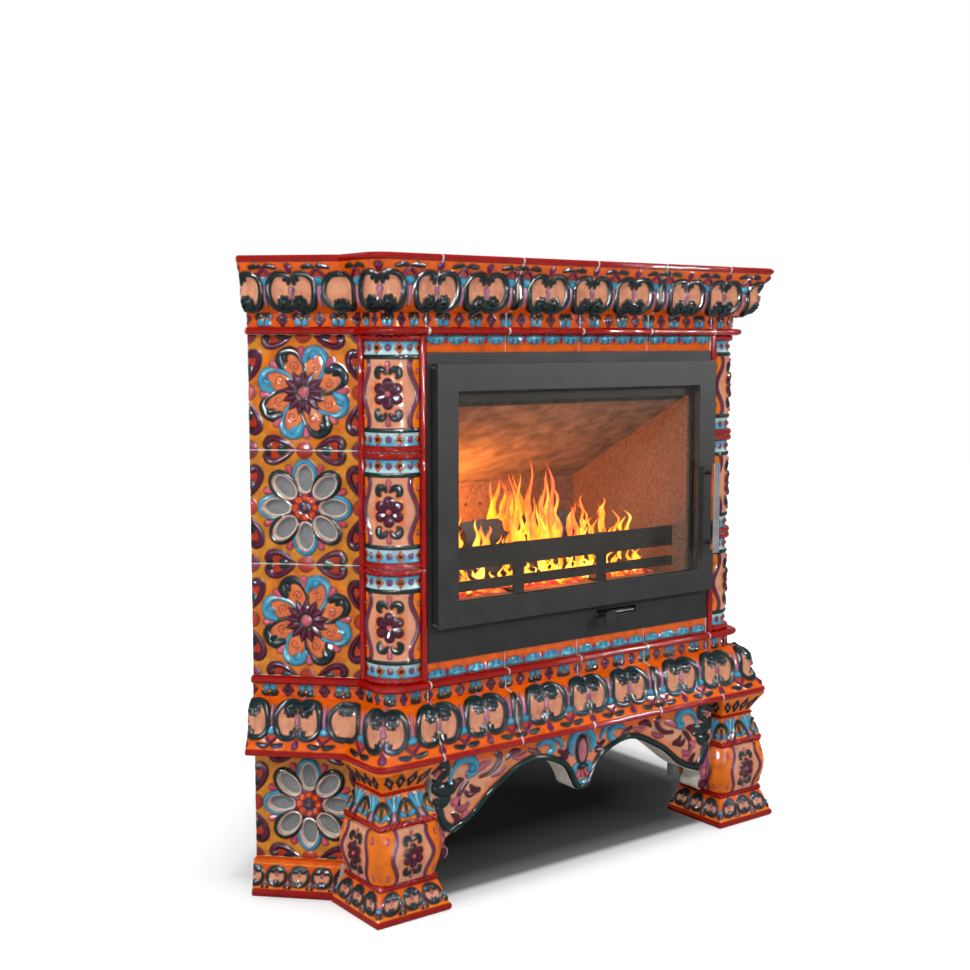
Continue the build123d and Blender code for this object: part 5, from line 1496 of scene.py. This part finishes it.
# ------------------------------------------------------------------ door seal
def seal_rope():
    """Braided rope round the back of the door, in the seal's own place."""
    low, high = (np.array(corner) * 1000 + (0, MIDDLE_Y, 0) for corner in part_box("door_seal"))
    r = 6.5
    half, z0, z1, y = high[0] - r, low[2] + r, high[2] - r, (low[1] + high[1]) / 2
    corner = 2 * r
    right, top, bottom = half - corner, z1 - corner, z0 + corner
    path = []
    for cx, cz, first in ((right, top, 0), (-right, top, 90), (-right, bottom, 180), (right, bottom, 270)):
        for t in np.radians(np.linspace(first, first + 90, 7)):
            path.append((cx + corner * cos(t), cz + corner * sin(t)))
    path = np.array(path + path[:1])
    s = np.r_[0, np.cumsum(np.hypot(*np.diff(path, axis=0).T))]
    want = np.linspace(0, s[-1], 1100)[:-1]
    x, z = np.interp(want, s, path[:, 0]), np.interp(want, s, path[:, 1])
    tx, tz = np.gradient(x), np.gradient(z)
    size = np.hypot(tx, tz)
    nx, nz = tz / size, -tx / size
    a = np.linspace(0, TURN, 17)[:-1]
    plait = np.abs(np.sin(3 * a + want[:, None] / 2.6) * np.sin(3 * a - want[:, None] / 2.6))
    reach = r * (0.88 + 0.12 * np.sqrt(plait))
    side = reach * np.cos(a)
    x, z = x[:, None] + nx[:, None] * side, z[:, None] + nz[:, None] * side
    P = np.stack([x, y + reach * np.sin(a), z], -1)
    P = np.concatenate([P, P[:, :1]], 1)
    rope = plain_mesh("door_seal_rope", P, wrap=True, outward=lambda Q: (Q - (0, y, 0)) * (0, 1, 0))
    place(rope, ROPE, "door", ("door_seal",))


seal_rope()


# ------------------------------------------------------------------ fire
def burning_log(name, centre, radius, length, turn, seed, replaces=()):
    """A split, charred log: one flat side, bark ridges along it, uneven ends."""
    rng = np.random.default_rng(seed)
    nu, nv = 44, 70
    a = np.linspace(0, TURN, nu + 1)[:-1]
    s = np.linspace(0, 1, nv)
    phase = rng.uniform(0, 6.28, 6)
    r = np.full((nu, nv), 0.93) * (1 - 0.22 * bell(a, 2.2, 0.55))[:, None]
    for k in range(6):
        r += 0.025 * np.sin((k + 3) * a[:, None] + 2.5 * np.sin(s * (k + 2) * 2.1 + phase[k]))
    r += 0.02 * rng.standard_normal((nu, nv))
    r[:, 0] *= 0.86
    r[:, -1] *= 0.84
    c, w = cos(radians(turn)), sin(radians(turn))
    x = (s - 0.5)[None] * length + 3 * np.sin(a)[:, None]
    y, z = r * radius * np.cos(a)[:, None], r * radius * np.sin(a)[:, None]
    P = np.stack([centre[0] + x * c - y * w, centre[1] + x * w + y * c, centre[2] + z], -1)
    log = plain_mesh(name, P, wrap=True, cap=True, outward=lambda Q: Q - centre)
    place(log, CHAR, "root", replaces)


burning_log("fire_log_1", (-12, 170, 627.5), 42, 398, 3, 1, ("firewood",))
burning_log("fire_log_2", (30, 280, 621.6), 36, 358, -2, 2)
burning_log("fire_log_3", (16, 229, 683.8), 36, 328, 2, 3)
HEARTH = 585.2  # the floor under the embers


def ember_bed():
    rng = np.random.default_rng(9)
    x, y = np.linspace(-300, 300, 150), np.linspace(75, 340, 70)
    X, Y = np.meshgrid(x, y, indexing="ij")
    fade = np.clip(1 - (X / 300) ** 4, 0, 1) * np.clip(1 - ((Y - 207) / 132) ** 4, 0, 1)
    ripple = 9 + 5 * np.sin(X / 9 + 2 * np.sin(Y / 13)) + 4 * np.sin(Y / 7 + X / 23)
    z = np.maximum(HEARTH + fade * (ripple + 3.5 * rng.standard_normal(X.shape)), HEARTH)
    bed = plain_mesh("ember_bed", np.stack([X, Y, z], -1),
                     outward=lambda Q: np.broadcast_to((0.0, 0, 1), Q.shape))
    place(bed, EMBER)


ember_bed()


# groups of flames: below which number, span across, heights, half widths, and depths and feet of their own
FLAMES = (
    (62, None, (70, 200), (5, 13), None, None),
    (86, (-290, 300), (30, 80), (6, 14), None, None),
    (104, (-290, -150), (60, 115), (5, 11), (95, 130), None),
    (120, (90, 260), (50, 120), (4, 9), None, None),
    (190, (-300, 300), (22, 62), (5, 11), (70, 120), (586, 600)),
)


def flames():
    rng = np.random.default_rng(4)
    s = np.linspace(0, 1, 26)
    a = np.linspace(0, TURN, 13)[:-1, None]
    for number in range(FLAMES[-1][0]):
        span, heights, widths, depths, feet = next(group[1:] for group in FLAMES if number < group[0])
        x = rng.uniform(*span) if span else rng.normal(25, 62)
        tall, wide = rng.uniform(*heights), rng.uniform(*widths)
        if not span:
            tall *= 1.1 - min(abs(x - 25) / 190, 0.7)
        y = rng.uniform(75, 300)
        base = rng.uniform(592, 640) + 0.15 * y
        if depths:
            y = rng.uniform(*depths)
        if feet:
            base = rng.uniform(*feet)
        sway = rng.uniform(-1, 1, 4)
        bend = 22 * sway[0] * np.sin(s * 4.2 + sway[1] * 3) * s + 16 * sway[2] * s ** 2
        bend += 8 * np.sin(s * 11 + sway[3] * 3) * s
        r = wide * np.clip(np.sin(np.clip(s * 1.08 + 0.06, 0, 1) * pi) ** 0.8, 0.02, 1) * (1 - 0.55 * s)
        r *= 1 + 0.3 * np.sin(s * 11 + 6 * sway[1])
        P = np.broadcast_arrays(x + bend + r * np.cos(a), y + 0.55 * r * np.sin(a), base + tall * s)
        tongue = plain_mesh(f"flame_{number + 1}", np.stack(P, -1), wrap=True, cap=True,
                            outward=away_from(x, y))
        place(tongue, FLAME)


flames()


# ------------------------------------------------------------------ stage, light and camera
def floor():
    """White for the camera, with a painted dark shadow under and behind the stove and its soft edge round it.
    """
    size = 9.0
    mesh = bpy.data.meshes.new("floor")
    mesh.from_pydata([(-size, -size, 0), (size, -size, 0), (size, size, 0), (-size, size, 0)], [],
                     [(0, 1, 2, 3)])
    thing = bpy.data.objects.new("floor", mesh)
    bpy.context.scene.collection.objects.link(thing)
    s = Surface("pale_floor_painted_shadow")
    s.nodes.remove(s.bsdf)
    split = s.add("SeparateXYZ", {0: s.where}).outputs
    x, y = s.math("ABSOLUTE", split["X"], 0.0), split["Y"]

    def past(kind, a, b, limit, slope):
        """Distance in metres beyond one side of the footprint."""
        return s.math("MULTIPLY", s.math("SUBTRACT", s.math(kind, a, b), limit), slope)
    back = s.math("SMOOTH_MAX", past("SUBTRACT", y, split["X"], 0.58, 0.6),
                  past("ADD", y, split["X"], 1.12, 0.3))
    back.node.inputs[2].default_value = 0.2
    wing = past("SUBTRACT", x, y, 0.73, 0.707)
    front, end = s.math("SUBTRACT", -0.352, y), s.math("SUBTRACT", x, 0.6)
    reach = s.math("MAXIMUM", s.math("MAXIMUM", back, wing), s.math("MAXIMUM", front, end))
    # painted shadow: greys from dark under the stove to white outside it, in both the diffuse colour and the
    # glow
    greys = ((0.25, 0.10), (0.42, 0.24), (0.485, 0.42), (0.505, 0.80), (0.56, 0.93), (0.72, 1))
    shade = s.ramp(s.math("ADD", reach, 0.5), [(at, (grey, grey, grey)) for at, grey in greys])
    mix = s.add("Mix", {"Factor": 1.0, "A": (0.62, 0.62, 0.62, 1), "B": shade}, data_type="RGBA",
                blend_type="MULTIPLY")
    far = s.math("ADD", s.math("MULTIPLY", s.math("MAXIMUM", reach, 0.0), 0.5), 0.62)
    strength = s.math("MULTIPLY", s.seen_directly(), s.math("MINIMUM", far, 1.0))
    s.finish(s.add("BsdfDiffuse", {0: mix.outputs["Result"]}),
             s.add("Emission", {0: shade, "Strength": strength}),
             kind="AddShader")
    mesh.materials.append(s.material)


def light(name, kind, where, power):
    data = bpy.data.lights.new(name, kind)
    data.energy = power
    thing = bpy.data.objects.new(name, data)
    thing.location = where
    bpy.context.scene.collection.objects.link(thing)
    return thing, data


def lamp(name, where, target, size, power, mirrored=False):
    """Rectangular lamp that either lights the scene or only shows in the glaze."""
    thing, data = light(name, "AREA", where, power)
    data.shape = "RECTANGLE"
    data.size, data.size_y = size
    thing.visible_glossy, thing.visible_diffuse = mirrored, not mirrored
    thing.rotation_euler = (Vector(target) - Vector(where)).to_track_quat("-Z", "Y").to_euler()


floor()
lamp("key_softbox", (-2.6, -2.4, 2.9), (-0.1, -0.2, 0.6), (1.2, 0.9), 62)
lamp("front_softbox", (1.6, -3.2, 1.9), (0, -0.3, 0.6), (1.0, 1.4), 30)
lamp("side_strip", (-3.2, 0.2, 1.5), (-0.5, 0, 0.7), (0.4, 1.6), 18)
lamp("top_softbox", (0.2, -0.6, 3.4), (0, -0.2, 0.6), (1.6, 1.6), 26)
SPARKLES = ((-2.0, -3.1, 2.3), (0.4, -3.5, 2.6), (-3.4, -1.0, 2.2), (2.4, -2.6, 1.7), (-0.8, -3.3, 0.9),
            (-2.9, -2.1, 1.3), (-1.3, -2.6, 3.2))
for number, where in enumerate(SPARKLES):
    lamp(f"sparkle_{number + 1}", where, (0, -0.2, 0.7), (0.16, 0.12), 215.0, True)
FIRE = ((-0.25, -0.04, 0.68, 5.0), (-0.12, -0.06, 0.73, 4.4), (0.10, -0.14, 0.70, 1.2),
        (0.0, -0.26, 0.62, 0.7))
for number, (*where, power) in enumerate(FIRE):
    thing, data = light(f"fire_light_{number + 1}", "POINT", where, power)
    data.shadow_soft_size, data.color = 0.05, (1, 0.29, 0.035)
    thing.visible_glossy = False

world = bpy.data.worlds.new("studio")
bpy.context.scene.world = world
sky = Tree(world, "OutputWorld")
seen = sky.seen_directly()
seen.node.use_clamp = True
sky.finish(sky.add("Background", {0: WHITE, 1: 0.43}), sky.add("Background", {0: WHITE, 1: 1.0}), share=seen)

camera_data = bpy.data.cameras.new("camera")
camera_data.sensor_width = 36
camera_data.lens = 51.58
camera_data.shift_x = 0.0005
camera_data.shift_y = 0.0011
camera = bpy.data.objects.new("camera", camera_data)
camera.location = (-1.88265, -2.55635, 1.11159)
camera.rotation_euler = Euler((radians(90 - 6.02), 0, radians(-36.55)), "XYZ")
bpy.context.scene.collection.objects.link(camera)
bpy.context.scene.camera = camera
bpy.context.scene.view_settings.view_transform = "Standard"
